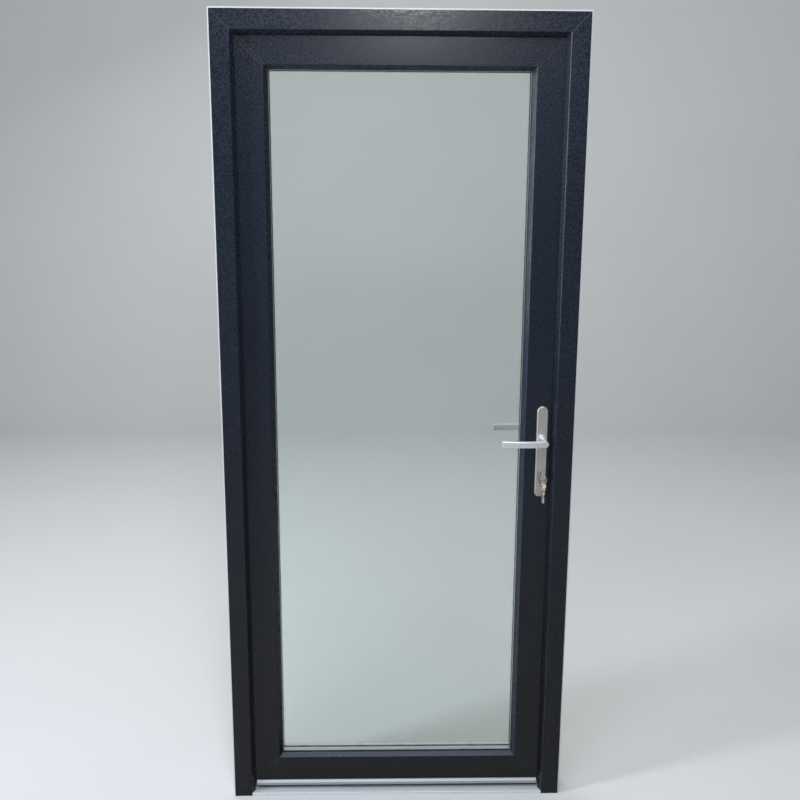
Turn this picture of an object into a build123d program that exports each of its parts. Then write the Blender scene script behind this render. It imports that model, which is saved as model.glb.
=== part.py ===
# Fully glazed entrance door of welded plastic profiles, with its frame.
#
# The leaf opens into the room. It hangs on three hinges on the left, seen from outside,
# and locks on the right. Outside is -Y, the room is +Y, +X is the lock side and +Z is up.
# The origin is the middle of the threshold's underside, half way through the frame's depth.

import math
import os

from build123d import *

os.makedirs("parts", exist_ok=True)

# Overall size in millimetres
WIDTH = 900
HEIGHT = 2050
FRAME_DEPTH = 70
OUT_Y = -FRAME_DEPTH / 2
ROOM_Y = FRAME_DEPTH / 2

# Frame profile, measured across from the outer edge of the frame
WHITE_LIP = 4
FRAME_FACE = 50
LEG_TIP = 59
LEG_DEPTH = 19
FRAME_REBATE = 35
WALL = 2.8
WEB = 1.6

# Leaf profile, measured across from the same edge
SASH_SETBACK = 22
SASH_DEPTH = 70
SASH_Y = OUT_Y + SASH_SETBACK
SASH_BACK = SASH_Y + SASH_DEPTH
SASH_EDGE = 47
SASH_FLANGE = 27
FLANGE_GAP = 3
SASH_FACE_IN = 125
SIGHTLINE = 135
REBATE_FLOOR = 115
LIP_BACK = 16
LEAF_DROP = 22
BEAD_GROOVE_Y = (44, 48)
BEAD_GROOVE_DEEP = 4

# Hardware groove in the leaf's edge
GROOVE_Y = ROOM_Y + FLANGE_GAP - 13
GROOVE_WIDTH = 16
GROOVE_INNER = 12
FACEPLATE_DEPTH = 3
GROOVE_DEPTH = 12

# Weld lines at the mitred corners
WELD_DEPTH = 0.4
WELD_MARGIN = 1

# Steel tubes inside the profiles
STEEL_Y1 = 20
FRAME_STEEL_LOW = (3 + WALL, OUT_Y + LEG_DEPTH - WALL + WEB)
FRAME_STEEL_HIGH = (FRAME_REBATE - WALL, STEEL_Y1)
SASH_STEEL_Y0 = SASH_Y + 13
SASH_STEEL_LOW = (SASH_EDGE + GROOVE_DEPTH + WEB, SASH_STEEL_Y0)
SASH_STEEL_HIGH = (REBATE_FLOOR - WALL, SASH_STEEL_Y0 + 40)
STEEL_FIT = 0.4
STEEL_WALL = 1.5
SASH_STEEL_WALL = 2.0

# Glazing unit, 4 mm glass, 16 mm space, 4 mm glass
GLASS = 4
GLASS_SPACE = 16
UNIT = 2 * GLASS + GLASS_SPACE
GASKET = 3
GLASS_EDGE = 120
PANE_Y = SASH_Y + LIP_BACK + GASKET

# Lock and handles
BACKSET = 35
LOCK_X = WIDTH / 2 - SASH_EDGE - BACKSET
SPINDLE_Z = 1013
LOCK_SPACING = 92
CYLINDER_Z = SPINDLE_Z - LOCK_SPACING
PLATE_WIDTH = 28
PLATE_ABOVE = 86
PLATE_BELOW = 61
PLATE_THICK = 9
LEVER_STANDOFF = 50
LEVER_HEIGHT = 16
LEVER_THICK = 12
LEVER_LENGTH = 110
SPINDLE_SIDE = 8
LATCH_THROW = 16
SIDE_BOLT_Z = (350, 1700)

# Lock cylinder
CYLINDER_R = 8.5
CYLINDER_BODY_W = 10
CYLINDER_DROP = 19.5
CYLINDER_OUT_Y = SASH_Y - PLATE_THICK - 3
CYLINDER_IN_Y = SASH_BACK + PLATE_THICK + 3
PLUG_R = 6.5
RUN_CLEARANCE = 0.05

# Pockets that the lock and its bolts need in the profiles
CASE_DEPTH = 50
CASE_THICK = 15
CASE_BELOW = 72
CASE_ABOVE = 82
SIDE_CASE_HALF = 45
SIDE_CASE_DEPTH = 40
POCKET_PLAY = 0.5
FACEPLATE_Z = (150, 1900)
STEP_X = WIDTH / 2 - SASH_EDGE - FACEPLATE_DEPTH
EDGE_X = WIDTH / 2 - SASH_EDGE
BOLT_POCKET_X = WIDTH / 2 - FRAME_REBATE + 12
BOLT_HALF_Y = 7
LATCH_Z = SPINDLE_Z + 27
LATCH_HALF_Z = 15
DEADBOLT_Z = SPINDLE_Z - 45
DEADBOLT_HALF_Z = 18
SIDE_BOLT_HALF_Z = 12
KEEP_PLAY = 2
BOLT_PLAY = 0.3
SPINDLE_HOLE_R = 9.5
PLATE_SCREW_R = 2.5
PLATE_SCREW_Z = (SPINDLE_Z + 68, CYLINDER_Z - 42)

# Frame fixings
FIXING_R = 3.1
FIXING_Z = (200, 750, 1300, 1850)
FIXING_Y = -7

# Hinges
HINGE_X = -(WIDTH / 2 - 13)
HINGE_Y = SASH_BACK
HINGE_Z = (230, 1025, 1820)
KNUCKLE_R = 9
PIN_R = 4
HINGE_HEIGHT = 100


def rounded(*corners):
    """A filled outline given as (across, depth, corner radius)."""
    points = [(across, depth) for across, depth, radius in corners]
    radii = [radius for across, depth, radius in corners]
    with BuildSketch() as filled:
        with BuildLine():
            FilletPolyline(*points, radius=radii, close=True)
        make_face()
    return filled.sketch


def chamber(*corners):
    """A square-cornered chamber given as (across, depth) corners."""
    return rounded(*[(across, depth, 0) for across, depth in corners])


def rectangle(low, high, radius=0):
    """An upright rectangle between two corners."""
    across = (low[0], high[0], high[0], low[0])
    depth = (low[1], low[1], high[1], high[1])
    return rounded(*[(a, d, radius) for a, d in zip(across, depth)])


def side_planes(bottom):
    """One plane for each side of the door: X runs inwards across the profile, Y is depth."""
    half = WIDTH / 2
    return {
        "left": Plane(origin=(-half, 0, bottom), x_dir=(1, 0, 0), z_dir=(0, 0, 1)),
        "top": Plane(origin=(-half, 0, HEIGHT), x_dir=(0, 0, -1), z_dir=(1, 0, 0)),
        "right": Plane(origin=(half, 0, HEIGHT), x_dir=(-1, 0, 0), z_dir=(0, 0, -1)),
        "bottom": Plane(origin=(half, 0, bottom), x_dir=(0, 0, 1), z_dir=(-1, 0, 0)),
    }


FRAME = side_planes(0)
LEAF = side_planes(-LEAF_DROP)
FRAME_RUN = {"left": HEIGHT, "top": WIDTH, "right": HEIGHT}
LEAF_RUN = {
    "left": HEIGHT + LEAF_DROP,
    "top": WIDTH,
    "right": HEIGHT + LEAF_DROP,
    "bottom": WIDTH,
}


def mitre(plane, run, start=True, end=True):
    """Cut a profile at 45 degrees through the corners of the door."""
    if start:
        split(bisect_by=Plane(origin=plane.origin, z_dir=plane.z_dir - plane.x_dir), keep=Keep.TOP)
    if end:
        far = plane.origin + plane.z_dir * run
        split(bisect_by=Plane(origin=far, z_dir=plane.z_dir + plane.x_dir), keep=Keep.BOTTOM)


def weld_groove(plane, run, y, low, high, start=True, end=True):
    """Cut a fine V along the weld of a mitred corner on one flat face, from low to high across."""
    corners = []
    if start:
        corners.append((plane.origin, plane.x_dir + plane.z_dir))
    if end:
        corners.append((plane.origin + plane.z_dir * run, plane.x_dir - plane.z_dir))
    depth_way = Vector(0, 1, 0)
    for corner, inwards in corners:
        middle = corner + inwards * ((low + high) / 2) + depth_way * y
        tilted = depth_way + inwards.cross(depth_way).normalized()
        with Locations(Plane(origin=middle, x_dir=inwards, z_dir=tilted)):
            side = WELD_DEPTH * math.sqrt(2)
            Box((high - low) * math.sqrt(2), side, side, mode=Mode.SUBTRACT)


def finish(built, name):
    """Label one piece and write it out."""
    built.part.label = name
    export_step(built.part, f"parts/{name}.step")


def frame_section():
    """The frame's hollow section: a leg towards the opening, a steel chamber and a rear chamber."""
    outer = rounded(
        (WHITE_LIP, OUT_Y, 1.2),
        (FRAME_FACE, OUT_Y, 2.0),
        (LEG_TIP - 1, OUT_Y + LEG_DEPTH - 4, 1.5),
        (LEG_TIP - 1, OUT_Y + LEG_DEPTH, 1.0),
        (FRAME_REBATE, OUT_Y + LEG_DEPTH, 0),
        (FRAME_REBATE, ROOM_Y, 1.2),
        (0, ROOM_Y, 0.8),
        (0, 12, 0),
        (3, 11, 0),
        (3, 1, 0),
        (0, 0, 0),
        (0, OUT_Y + 8, 0.6),
        (WHITE_LIP, OUT_Y + 8, 0),
    )
    front = OUT_Y + WALL
    front_chamber = chamber(
        (WHITE_LIP + WALL, front),
        (FRAME_FACE - 2, front),
        (LEG_TIP - WALL - 3.2, OUT_Y + LEG_DEPTH - 5),
        (LEG_TIP - WALL - 3.2, OUT_Y + LEG_DEPTH - WALL),
        (WHITE_LIP + WALL, OUT_Y + LEG_DEPTH - WALL),
    )
    steel_chamber = rectangle(FRAME_STEEL_LOW, FRAME_STEEL_HIGH)
    rear_chamber = rectangle((WALL, STEEL_Y1 + WEB), (FRAME_REBATE - WALL, ROOM_Y - WALL))
    return outer - front_chamber - steel_chamber - rear_chamber


def sash_section():
    """The leaf's hollow section: overlap flange, hardware groove, steel chamber, glazing rebate."""
    groove_low = GROOVE_Y - GROOVE_WIDTH / 2
    groove_high = GROOVE_Y + GROOVE_WIDTH / 2
    inner_low = GROOVE_Y - GROOVE_INNER / 2
    inner_high = GROOVE_Y + GROOVE_INNER / 2
    step = SASH_EDGE + FACEPLATE_DEPTH
    deep = SASH_EDGE + GROOVE_DEPTH
    flange_front = ROOM_Y + FLANGE_GAP
    outer = rounded(
        (SASH_EDGE, SASH_Y, 1.2),
        (SASH_FACE_IN, SASH_Y, 2.2),
        (SIGHTLINE - 2, SASH_Y + LIP_BACK - 3, 1.2),
        (SIGHTLINE - 2, SASH_Y + LIP_BACK, 0.6),
        (REBATE_FLOOR, SASH_Y + LIP_BACK, 0),
        (REBATE_FLOOR, BEAD_GROOVE_Y[0], 0),
        (REBATE_FLOOR - BEAD_GROOVE_DEEP, BEAD_GROOVE_Y[0], 0),
        (REBATE_FLOOR - BEAD_GROOVE_DEEP, BEAD_GROOVE_Y[1], 0),
        (REBATE_FLOOR, BEAD_GROOVE_Y[1], 0),
        (REBATE_FLOOR, SASH_BACK, 0),
        (SASH_FLANGE, SASH_BACK, 2.5),
        (SASH_FLANGE, flange_front, 1.0),
        (SASH_EDGE, flange_front, 0),
        (SASH_EDGE, groove_high, 0),
        (step, groove_high, 0),
        (step, inner_high, 0),
        (deep, inner_high, 0),
        (deep, inner_low, 0),
        (step, inner_low, 0),
        (step, groove_low, 0),
        (SASH_EDGE, groove_low, 0),
    )
    front = SASH_Y + WALL
    back = SASH_BACK - WALL
    front_chamber = chamber(
        (SASH_EDGE + WALL, front),
        (SASH_FACE_IN - 2, front),
        (SASH_FACE_IN + 1, SASH_STEEL_Y0 - WEB),
        (SASH_EDGE + WALL, SASH_STEEL_Y0 - WEB),
    )
    steel_chamber = rectangle(SASH_STEEL_LOW, SASH_STEEL_HIGH)
    edge_chamber = rectangle((step, SASH_STEEL_Y0), (deep, groove_low - WEB))
    rear_low = (SASH_FLANGE + WALL, SASH_STEEL_HIGH[1] + WEB)
    rear_chamber = rectangle(rear_low, (REBATE_FLOOR - BEAD_GROOVE_DEEP - WALL, back))
    return outer - front_chamber - steel_chamber - edge_chamber - rear_chamber


def steel_section(low, high, wall):
    """A folded steel tube that fills its chamber with a little play."""
    inner = STEEL_FIT + wall
    tube = rectangle(
        (low[0] + STEEL_FIT, low[1] + STEEL_FIT),
        (high[0] - STEEL_FIT, high[1] - STEEL_FIT),
        2 * wall,
    )
    hollow = rectangle((low[0] + inner, low[1] + inner), (high[0] - inner, high[1] - inner), wall)
    return tube - hollow


def drill_across(x0, x1, y, heights, radius):
    """Round holes along X through the stretch from x0 to x1."""
    with BuildSketch(Plane(origin=(x0, 0, 0), x_dir=(0, 1, 0), z_dir=(1, 0, 0))) as holes:
        with Locations(*[(y, z) for z in heights]):
            Circle(radius)
    extrude(holes.sketch, amount=x1 - x0, mode=Mode.SUBTRACT)


def drill_through(x, z, y0, y1, radius):
    """One round hole along Y from y0 to y1."""
    with BuildSketch(Plane(origin=(x, y0, z), x_dir=(1, 0, 0), z_dir=(0, 1, 0))) as hole:
        Circle(radius)
    extrude(hole.sketch, amount=y1 - y0, mode=Mode.SUBTRACT)


def block(low, high, mode=Mode.ADD):
    """A square-cornered block between two corners."""
    centre = [(a + b) / 2 for a, b in zip(low, high)]
    size = [b - a for a, b in zip(low, high)]
    with Locations(tuple(centre)):
        Box(*size, mode=mode)


def cylinder_outline(y, grow=0.0):
    """The keyhole outline of a lock cylinder at one depth: a round barrel over a narrow body."""
    body = CYLINDER_BODY_W / 2 + grow
    with BuildSketch(Plane(origin=(LOCK_X, y, CYLINDER_Z), x_dir=(1, 0, 0), z_dir=(0, -1, 0))) as hole:
        Circle(CYLINDER_R + grow)
        with Locations((0, -CYLINDER_DROP / 2)):
            Rectangle(2 * body, CYLINDER_DROP)
        with Locations((0, -CYLINDER_DROP)):
            Circle(body)
    return hole.sketch


def lock_pockets():
    """Slots for the three lock cases behind the faceplate, in the stile and in its steel."""
    half = CASE_THICK / 2 + POCKET_PLAY
    cases = [(CYLINDER_Z - CASE_BELOW, SPINDLE_Z + CASE_ABOVE, CASE_DEPTH)]
    cases += [(z - SIDE_CASE_HALF, z + SIDE_CASE_HALF, SIDE_CASE_DEPTH) for z in SIDE_BOLT_Z]
    for low, high, depth in cases:
        block(
            (STEP_X - depth - POCKET_PLAY, GROOVE_Y - half, low - POCKET_PLAY),
            (STEP_X, GROOVE_Y + half, high + POCKET_PLAY),
            mode=Mode.SUBTRACT,
        )


def handle_holes(y0, y1):
    """Holes through the stile for the spindle, the cylinder and the two plate screws."""
    drill_through(LOCK_X, SPINDLE_Z, y0, y1, SPINDLE_HOLE_R)
    for z in PLATE_SCREW_Z:
        drill_through(LOCK_X, z, y0, y1, PLATE_SCREW_R + POCKET_PLAY)
    extrude(cylinder_outline(y1, POCKET_PLAY), amount=y1 - y0, mode=Mode.SUBTRACT)


def keep_pockets():
    """Slots in the lock side's frame for the latch and the three bolts."""
    slots = [(LATCH_Z, LATCH_HALF_Z), (DEADBOLT_Z, DEADBOLT_HALF_Z)]
    slots += [(z, SIDE_BOLT_HALF_Z) for z in SIDE_BOLT_Z]
    half = BOLT_HALF_Y + KEEP_PLAY
    for z, half_z in slots:
        block(
            (WIDTH / 2 - FRAME_REBATE - 1, GROOVE_Y - half, z - half_z - KEEP_PLAY),
            (BOLT_POCKET_X, GROOVE_Y + half, z + half_z + KEEP_PLAY),
            mode=Mode.SUBTRACT,
        )


def length_of(plane, run, section, low=0, high=None, start=True, end=True):
    """One straight length of a profile on one side of the door, mitred where asked."""
    high = run if high is None else high
    with BuildPart() as length:
        with BuildSketch(plane.offset(low)):
            add(section)
        extrude(amount=high - low)
        mitre(plane, run, start, end)
    return length.part


def ring(across_0, across_1, y0, y1, bottom=-LEAF_DROP):
    """A four-sided frame with a plain rectangular section."""
    middle = (HEIGHT + bottom) / 2
    width = WIDTH
    height = HEIGHT - bottom
    with BuildPart() as band:
        with BuildSketch(Plane(origin=(0, y0, middle), x_dir=(1, 0, 0), z_dir=(0, 1, 0))):
            Rectangle(width - 2 * across_0, height - 2 * across_0)
            Rectangle(width - 2 * across_1, height - 2 * across_1, mode=Mode.SUBTRACT)
        extrude(amount=y1 - y0)
    return band.part


# Frame profiles, welded at the two upper corners

STEEL_END = 5
FRAME_SIDES = (
    ("left", "jamb_hinge_side", "jamb_steel_hinge_side"),
    ("right", "jamb_lock_side", "jamb_steel_lock_side"),
    ("top", "head", "head_steel"),
)
REBATE_X = WIDTH / 2 - FRAME_REBATE
KEEP_THICK = 3
SCREW_HOLE_R = 2.1
HINGE_SCREW_DZ = (-54, -8, 8, 54)
HINGE_SCREW_X = HINGE_X
KEEP_MARGIN = 26
SIDE_KEEP_SCREW_DZ = SIDE_BOLT_HALF_Z + KEEP_MARGIN / 2
KEEP_SCREW_Z = [z + dz for z in SIDE_BOLT_Z for dz in (-SIDE_KEEP_SCREW_DZ, SIDE_KEEP_SCREW_DZ)]
KEEP_SCREW_Z += [DEADBOLT_Z - DEADBOLT_HALF_Z - KEEP_MARGIN / 2, LATCH_Z + LATCH_HALF_Z + KEEP_MARGIN / 2]
SCREW_REACH = 24


def frame_drillings(side):
    """Fixing holes, hinge screw holes and keep pockets of one side of the frame."""
    if side == "left":
        drill_across(-WIDTH / 2 - 1, -REBATE_X + 1, FIXING_Y, FIXING_Z, FIXING_R)
        for z in HINGE_Z:
            for dz in HINGE_SCREW_DZ:
                drill_through(HINGE_SCREW_X, z + dz, ROOM_Y - SCREW_REACH - 1, ROOM_Y + 1, SCREW_HOLE_R)
    if side == "right":
        drill_across(REBATE_X - 1, WIDTH / 2 + 1, FIXING_Y, FIXING_Z, FIXING_R)
        drill_across(REBATE_X - 1, REBATE_X + SCREW_REACH, GROOVE_Y, KEEP_SCREW_Z, SCREW_HOLE_R)
        keep_pockets()


for side, profile_name, steel_name in FRAME_SIDES:
    plane = FRAME[side]
    run = FRAME_RUN[side]
    with BuildPart() as profile:
        add(length_of(plane, run, frame_section(), start=side != "left", end=side != "right"))
        for y, low, high in ((OUT_Y, WHITE_LIP, FRAME_FACE), (ROOM_Y, 0, FRAME_REBATE)):
            low += WELD_MARGIN
            high -= WELD_MARGIN
            weld_groove(plane, run, y, low, high, start=side != "left", end=side != "right")
        frame_drillings(side)
    finish(profile, profile_name)
    low = STEEL_END if side == "left" else FRAME_REBATE + STEEL_END
    high = run - STEEL_END if side == "right" else run - FRAME_REBATE - STEEL_END
    with BuildPart() as steel:
        tube = steel_section(FRAME_STEEL_LOW, FRAME_STEEL_HIGH, STEEL_WALL)
        add(length_of(plane, run, tube, low, high, start=False, end=False))
        frame_drillings(side)
    finish(steel, steel_name)

# Gasket on the back of the frame's leg, which the closed leaf presses

SEAL_GAP = 0.3
SEAL_FOOT = 22
SEAL_ACROSS = (49, 54, 57.6)
LEG_BACK = OUT_Y + LEG_DEPTH
frame_lip = rounded(
    (SEAL_ACROSS[0], LEG_BACK, 0),
    (SEAL_ACROSS[2], LEG_BACK, 0.4),
    (SEAL_ACROSS[2], LEG_BACK + 1.6, 0.6),
    (SEAL_ACROSS[1], SASH_Y - SEAL_GAP, 0.8),
    (SEAL_ACROSS[0], SASH_Y - SEAL_GAP, 0.6),
)
with BuildPart() as frame_gasket:
    for side in ("left", "top", "right"):
        add(
            length_of(
                FRAME[side],
                FRAME_RUN[side],
                frame_lip,
                low=SEAL_FOOT if side == "left" else 0,
                high=FRAME_RUN[side] - SEAL_FOOT if side == "right" else None,
                start=side != "left",
                end=side != "right",
            )
        )
finish(frame_gasket, "frame_gasket")

# Threshold: an aluminium cover on a plastic base, between the two jambs

NOSE_HEIGHT = 8
SLOPE_HEIGHT = 12
THRESHOLD_HEIGHT = 19
COVER = 2
END_GAP = 0.3
BASE_CAVITIES = (((-28, 2), (-8, 4.5)), ((12, 3), (19, 15)), ((21, 3), (30, 15)))


def jamb_end_cuts():
    """Cut both ends of the threshold back to the jambs' inner outline."""
    for sign in (-1, 1):
        with BuildSketch(Plane.XY.offset(-1)) as end:
            with BuildLine():
                Polyline(
                    (sign * (WIDTH / 2 - FRAME_FACE - END_GAP), OUT_Y - 1),
                    (sign * (WIDTH / 2 - LEG_TIP + 1 - END_GAP), LEG_BACK - 4),
                    (sign * (WIDTH / 2 - LEG_TIP + 1 - END_GAP), LEG_BACK + END_GAP),
                    (sign * (REBATE_X - END_GAP), LEG_BACK + END_GAP),
                    (sign * (REBATE_X - END_GAP), ROOM_Y + 1),
                    (sign * (WIDTH / 2 + 1), ROOM_Y + 1),
                    (sign * (WIDTH / 2 + 1), OUT_Y - 1),
                    close=True,
                )
            make_face()
        extrude(end.sketch, amount=THRESHOLD_HEIGHT + 2, mode=Mode.SUBTRACT)


ALONG_X = Plane(origin=(-WIDTH / 2, 0, 0), x_dir=(0, 1, 0), z_dir=(1, 0, 0))

with BuildPart() as threshold:
    with BuildSketch(ALONG_X):
        add(
            rounded(
                (OUT_Y, 0, 0.3),
                (OUT_Y, NOSE_HEIGHT, 1.8),
                (2, SLOPE_HEIGHT, 1.5),
                (6, THRESHOLD_HEIGHT, 1.5),
                (ROOM_Y, THRESHOLD_HEIGHT, 0.8),
                (ROOM_Y, 4, 0),
                (ROOM_Y - COVER, 4, 0),
                (ROOM_Y - COVER, THRESHOLD_HEIGHT - COVER, 0),
                (7, THRESHOLD_HEIGHT - COVER, 0),
                (3, SLOPE_HEIGHT - COVER, 0),
                (OUT_Y + COVER, NOSE_HEIGHT - COVER, 0),
                (OUT_Y + COVER, 0, 0.3),
            )
        )
    extrude(amount=WIDTH)
    jamb_end_cuts()
finish(threshold, "threshold")

with BuildPart() as threshold_base:
    with BuildSketch(ALONG_X):
        add(
            rounded(
                (OUT_Y + COVER, 0, 0),
                (OUT_Y + COVER, NOSE_HEIGHT - COVER, 0),
                (3, SLOPE_HEIGHT - COVER, 0),
                (7, THRESHOLD_HEIGHT - COVER, 0),
                (ROOM_Y - COVER, THRESHOLD_HEIGHT - COVER, 0),
                (ROOM_Y - COVER, 4, 0),
                (ROOM_Y, 4, 0),
                (ROOM_Y, 0, 0),
            )
        )
        for low, high in BASE_CAVITIES:
            add(rectangle(low, high), mode=Mode.SUBTRACT)
    extrude(amount=WIDTH)
    jamb_end_cuts()
finish(threshold_base, "threshold_base")

# Leaf profiles, welded at all four corners

LEAF_SIDES = (
    ("left", "stile_hinge_side", "stile_steel_hinge_side"),
    ("right", "stile_lock_side", "stile_steel_lock_side"),
    ("top", "top_rail", "top_rail_steel"),
    ("bottom", "bottom_rail", "bottom_rail_steel"),
)
HINGE_LEAF_SCREW_X = (-(WIDTH / 2 - 52), -(WIDTH / 2 - 62))
HINGE_LEAF_SCREW_DZ = (-34, 34)
LEAF_SCREW_Y0 = ROOM_Y + 1.5


def leaf_drillings(side):
    """Hinge screw holes on one stile, the lock's pockets and handle holes on the other."""
    if side == "left":
        for z in HINGE_Z:
            for x in HINGE_LEAF_SCREW_X:
                for dz in HINGE_LEAF_SCREW_DZ:
                    drill_through(x, z + dz, LEAF_SCREW_Y0 - 0.5, SASH_BACK + 1, SCREW_HOLE_R)
    if side == "right":
        lock_pockets()
        handle_holes(SASH_Y - 1, SASH_BACK + 1)


for side, profile_name, steel_name in LEAF_SIDES:
    plane = LEAF[side]
    run = LEAF_RUN[side]
    with BuildPart() as profile:
        add(length_of(plane, run, sash_section()))
        weld_groove(plane, run, SASH_Y, SASH_EDGE + WELD_MARGIN, SASH_FACE_IN - WELD_MARGIN)
        weld_groove(plane, run, SASH_BACK, SASH_FLANGE + 2 * WELD_MARGIN, REBATE_FLOOR - WELD_MARGIN)
        leaf_drillings(side)
    finish(profile, profile_name)
    with BuildPart() as steel:
        tube = steel_section(SASH_STEEL_LOW, SASH_STEEL_HIGH, SASH_STEEL_WALL)
        low = REBATE_FLOOR + 3
        add(length_of(plane, run, tube, low, run - low, start=False, end=False))
        leaf_drillings(side)
    finish(steel, steel_name)

# Gasket on the leaf's overlap flange, towards the room side of the frame

LIP_ACROSS = (28.5, 34)
with BuildPart() as leaf_gasket:
    add(ring(*LIP_ACROSS, ROOM_Y + SEAL_GAP, ROOM_Y + FLANGE_GAP))
finish(leaf_gasket, "leaf_gasket")

# Glazing unit with its gasket

UNIT_BACK = PANE_Y + UNIT
GLASS_WIDTH = WIDTH - 2 * GLASS_EDGE
GLASS_HEIGHT = HEIGHT + LEAF_DROP - 2 * GLASS_EDGE
GLASS_MIDDLE_Z = (HEIGHT - LEAF_DROP) / 2
SPACER_BACK = GLASS_EDGE + 5
SPACER_TOP = SIGHTLINE - 1.5
SPACER_WALL = 0.8

with BuildPart() as glazing_gasket:
    add(ring(SIGHTLINE - 8, SIGHTLINE - 0.6, PANE_Y - GASKET, PANE_Y))
finish(glazing_gasket, "glazing_gasket")

for name, y in (("pane_outside", PANE_Y), ("pane_inside", UNIT_BACK - GLASS)):
    with BuildPart() as pane:
        block(
            (-GLASS_WIDTH / 2, y, GLASS_MIDDLE_Z - GLASS_HEIGHT / 2),
            (GLASS_WIDTH / 2, y + GLASS, GLASS_MIDDLE_Z + GLASS_HEIGHT / 2),
        )
        chamfer(pane.edges(), length=0.4)
    finish(pane, name)

SPACE_Y0 = PANE_Y + GLASS
SPACE_Y1 = UNIT_BACK - GLASS
with BuildPart() as spacer:
    add(ring(SPACER_BACK, SPACER_TOP, SPACE_Y0, SPACE_Y1))
    add(
        ring(SPACER_BACK - 1, SPACER_TOP - SPACER_WALL, SPACE_Y0 + SPACER_WALL, SPACE_Y1 - SPACER_WALL),
        mode=Mode.SUBTRACT,
    )
    middle_y = (SPACE_Y0 + SPACE_Y1) / 2
    add(ring(SPACER_TOP - 0.3, SPACER_TOP + 1, middle_y - 1, middle_y + 1), mode=Mode.SUBTRACT)
finish(spacer, "spacer")

with BuildPart() as edge_seal:
    add(ring(GLASS_EDGE + 0.5, SPACER_BACK, SPACE_Y0, SPACE_Y1))
finish(edge_seal, "edge_seal")

# Plastic blocks that carry and centre the glazing unit in its rebate

BLOCK_LENGTH = 100
BLOCK_FROM_CORNER = 70
block_x = GLASS_WIDTH / 2 - BLOCK_FROM_CORNER - BLOCK_LENGTH / 2
block_z = GLASS_HEIGHT / 2 - BLOCK_FROM_CORNER - BLOCK_LENGTH / 2
floor_x = WIDTH / 2 - REBATE_FLOOR
floor_z = (HEIGHT + LEAF_DROP) / 2 - REBATE_FLOOR
block_y = (PANE_Y + UNIT_BACK) / 2
with BuildPart() as setting_blocks:
    gap = GLASS_EDGE - REBATE_FLOOR
    for sign_x in (-1, 1):
        for sign_z in (-1, 1):
            with Locations((sign_x * block_x, block_y, GLASS_MIDDLE_Z + sign_z * (floor_z - gap / 2))):
                Box(BLOCK_LENGTH, UNIT, gap)
            with Locations((sign_x * (floor_x - gap / 2), block_y, GLASS_MIDDLE_Z + sign_z * block_z)):
                Box(gap, UNIT, BLOCK_LENGTH)
finish(setting_blocks, "setting_blocks")

# Glazing beads on the room side, with their gasket moulded on

BEAD_FRONT = UNIT_BACK + GASKET
BEAD_FOOT = REBATE_FLOOR + 0.2


def bead_section():
    """A clip-in bead: gasket lip, sloping room face, foot that snaps into the rebate's groove."""
    outer = rounded(
        (BEAD_FOOT, BEAD_FRONT + 1, 0),
        (BEAD_FOOT, BEAD_GROOVE_Y[0] + 0.3, 0),
        (REBATE_FLOOR - 3, BEAD_GROOVE_Y[0] + 1, 0.3),
        (REBATE_FLOOR - 3, BEAD_GROOVE_Y[1] - 1, 0.3),
        (BEAD_FOOT, BEAD_GROOVE_Y[1] - 0.3, 0),
        (BEAD_FOOT, SASH_BACK, 0),
        (REBATE_FLOOR + 7, SASH_BACK, 3),
        (SIGHTLINE, BEAD_FRONT + 12, 6),
        (SIGHTLINE, BEAD_FRONT, 0.8),
        (SIGHTLINE - 1.2, BEAD_FRONT, 0),
        (SIGHTLINE - 0.6, UNIT_BACK, 0),
        (SIGHTLINE - 8, UNIT_BACK, 0),
        (SIGHTLINE - 8, BEAD_FRONT, 0),
        (BEAD_FOOT + 3, BEAD_FRONT, 0),
    )
    hollow = chamber(
        (BEAD_FOOT + 2, BEAD_FRONT + 2.5),
        (BEAD_FOOT + 2, SASH_BACK - 3),
        (REBATE_FLOOR + 6, SASH_BACK - 3),
        (SIGHTLINE - 3, BEAD_FRONT + 11),
        (SIGHTLINE - 3, BEAD_FRONT + 2.5),
    )
    return outer - hollow


for side, name in (
    ("left", "bead_hinge_side"),
    ("right", "bead_lock_side"),
    ("top", "bead_top"),
    ("bottom", "bead_bottom"),
):
    with BuildPart() as bead:
        add(length_of(LEAF[side], LEAF_RUN[side], bead_section()))
    finish(bead, name)

# Aluminium drip bar across the foot of the leaf

DRIP_HALF = 388
DRIP_OUT = SASH_Y - 9
DRIP_TOP = 36
with BuildPart() as drip_bar:
    with BuildSketch(Plane(origin=(-DRIP_HALF, 0, 0), x_dir=(0, 1, 0), z_dir=(1, 0, 0))):
        add(
            rounded(
                (SASH_Y, DRIP_TOP, 0.3),
                (SASH_Y - 3, DRIP_TOP, 1.5),
                (DRIP_OUT, DRIP_TOP - 5, 3),
                (DRIP_OUT, DRIP_TOP - 12, 0.5),
                (DRIP_OUT + 1.5, DRIP_TOP - 12, 0.5),
                (DRIP_OUT + 1.5, DRIP_TOP - 6, 1),
                (SASH_Y - 2, DRIP_TOP - 3, 0.6),
                (SASH_Y - 2, DRIP_TOP - 10, 0.4),
                (SASH_Y, DRIP_TOP - 10, 0.3),
            )
        )
    extrude(amount=2 * DRIP_HALF)
finish(drip_bar, "drip_bar")

# Three hinges: frame leaf with two knuckles, door leaf with the middle knuckle, and a pin

HINGE_PLATE = 4
MIDDLE_HALF = 18
KNUCKLE_GAP = 0.5
FRAME_LEAF_HALF = 62
DOOR_LEAF_HALF = 45
FRAME_LEAF_X = (-(WIDTH / 2 - 1), -(WIDTH / 2 - 23))
DOOR_LEAF_X = (-(WIDTH / 2 - 28), -(WIDTH / 2 - 70))
PIN_CAP_R = 6
PIN_CAP = 3
HINGE_CORNER = 4
ARM_HALF = 6


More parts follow.
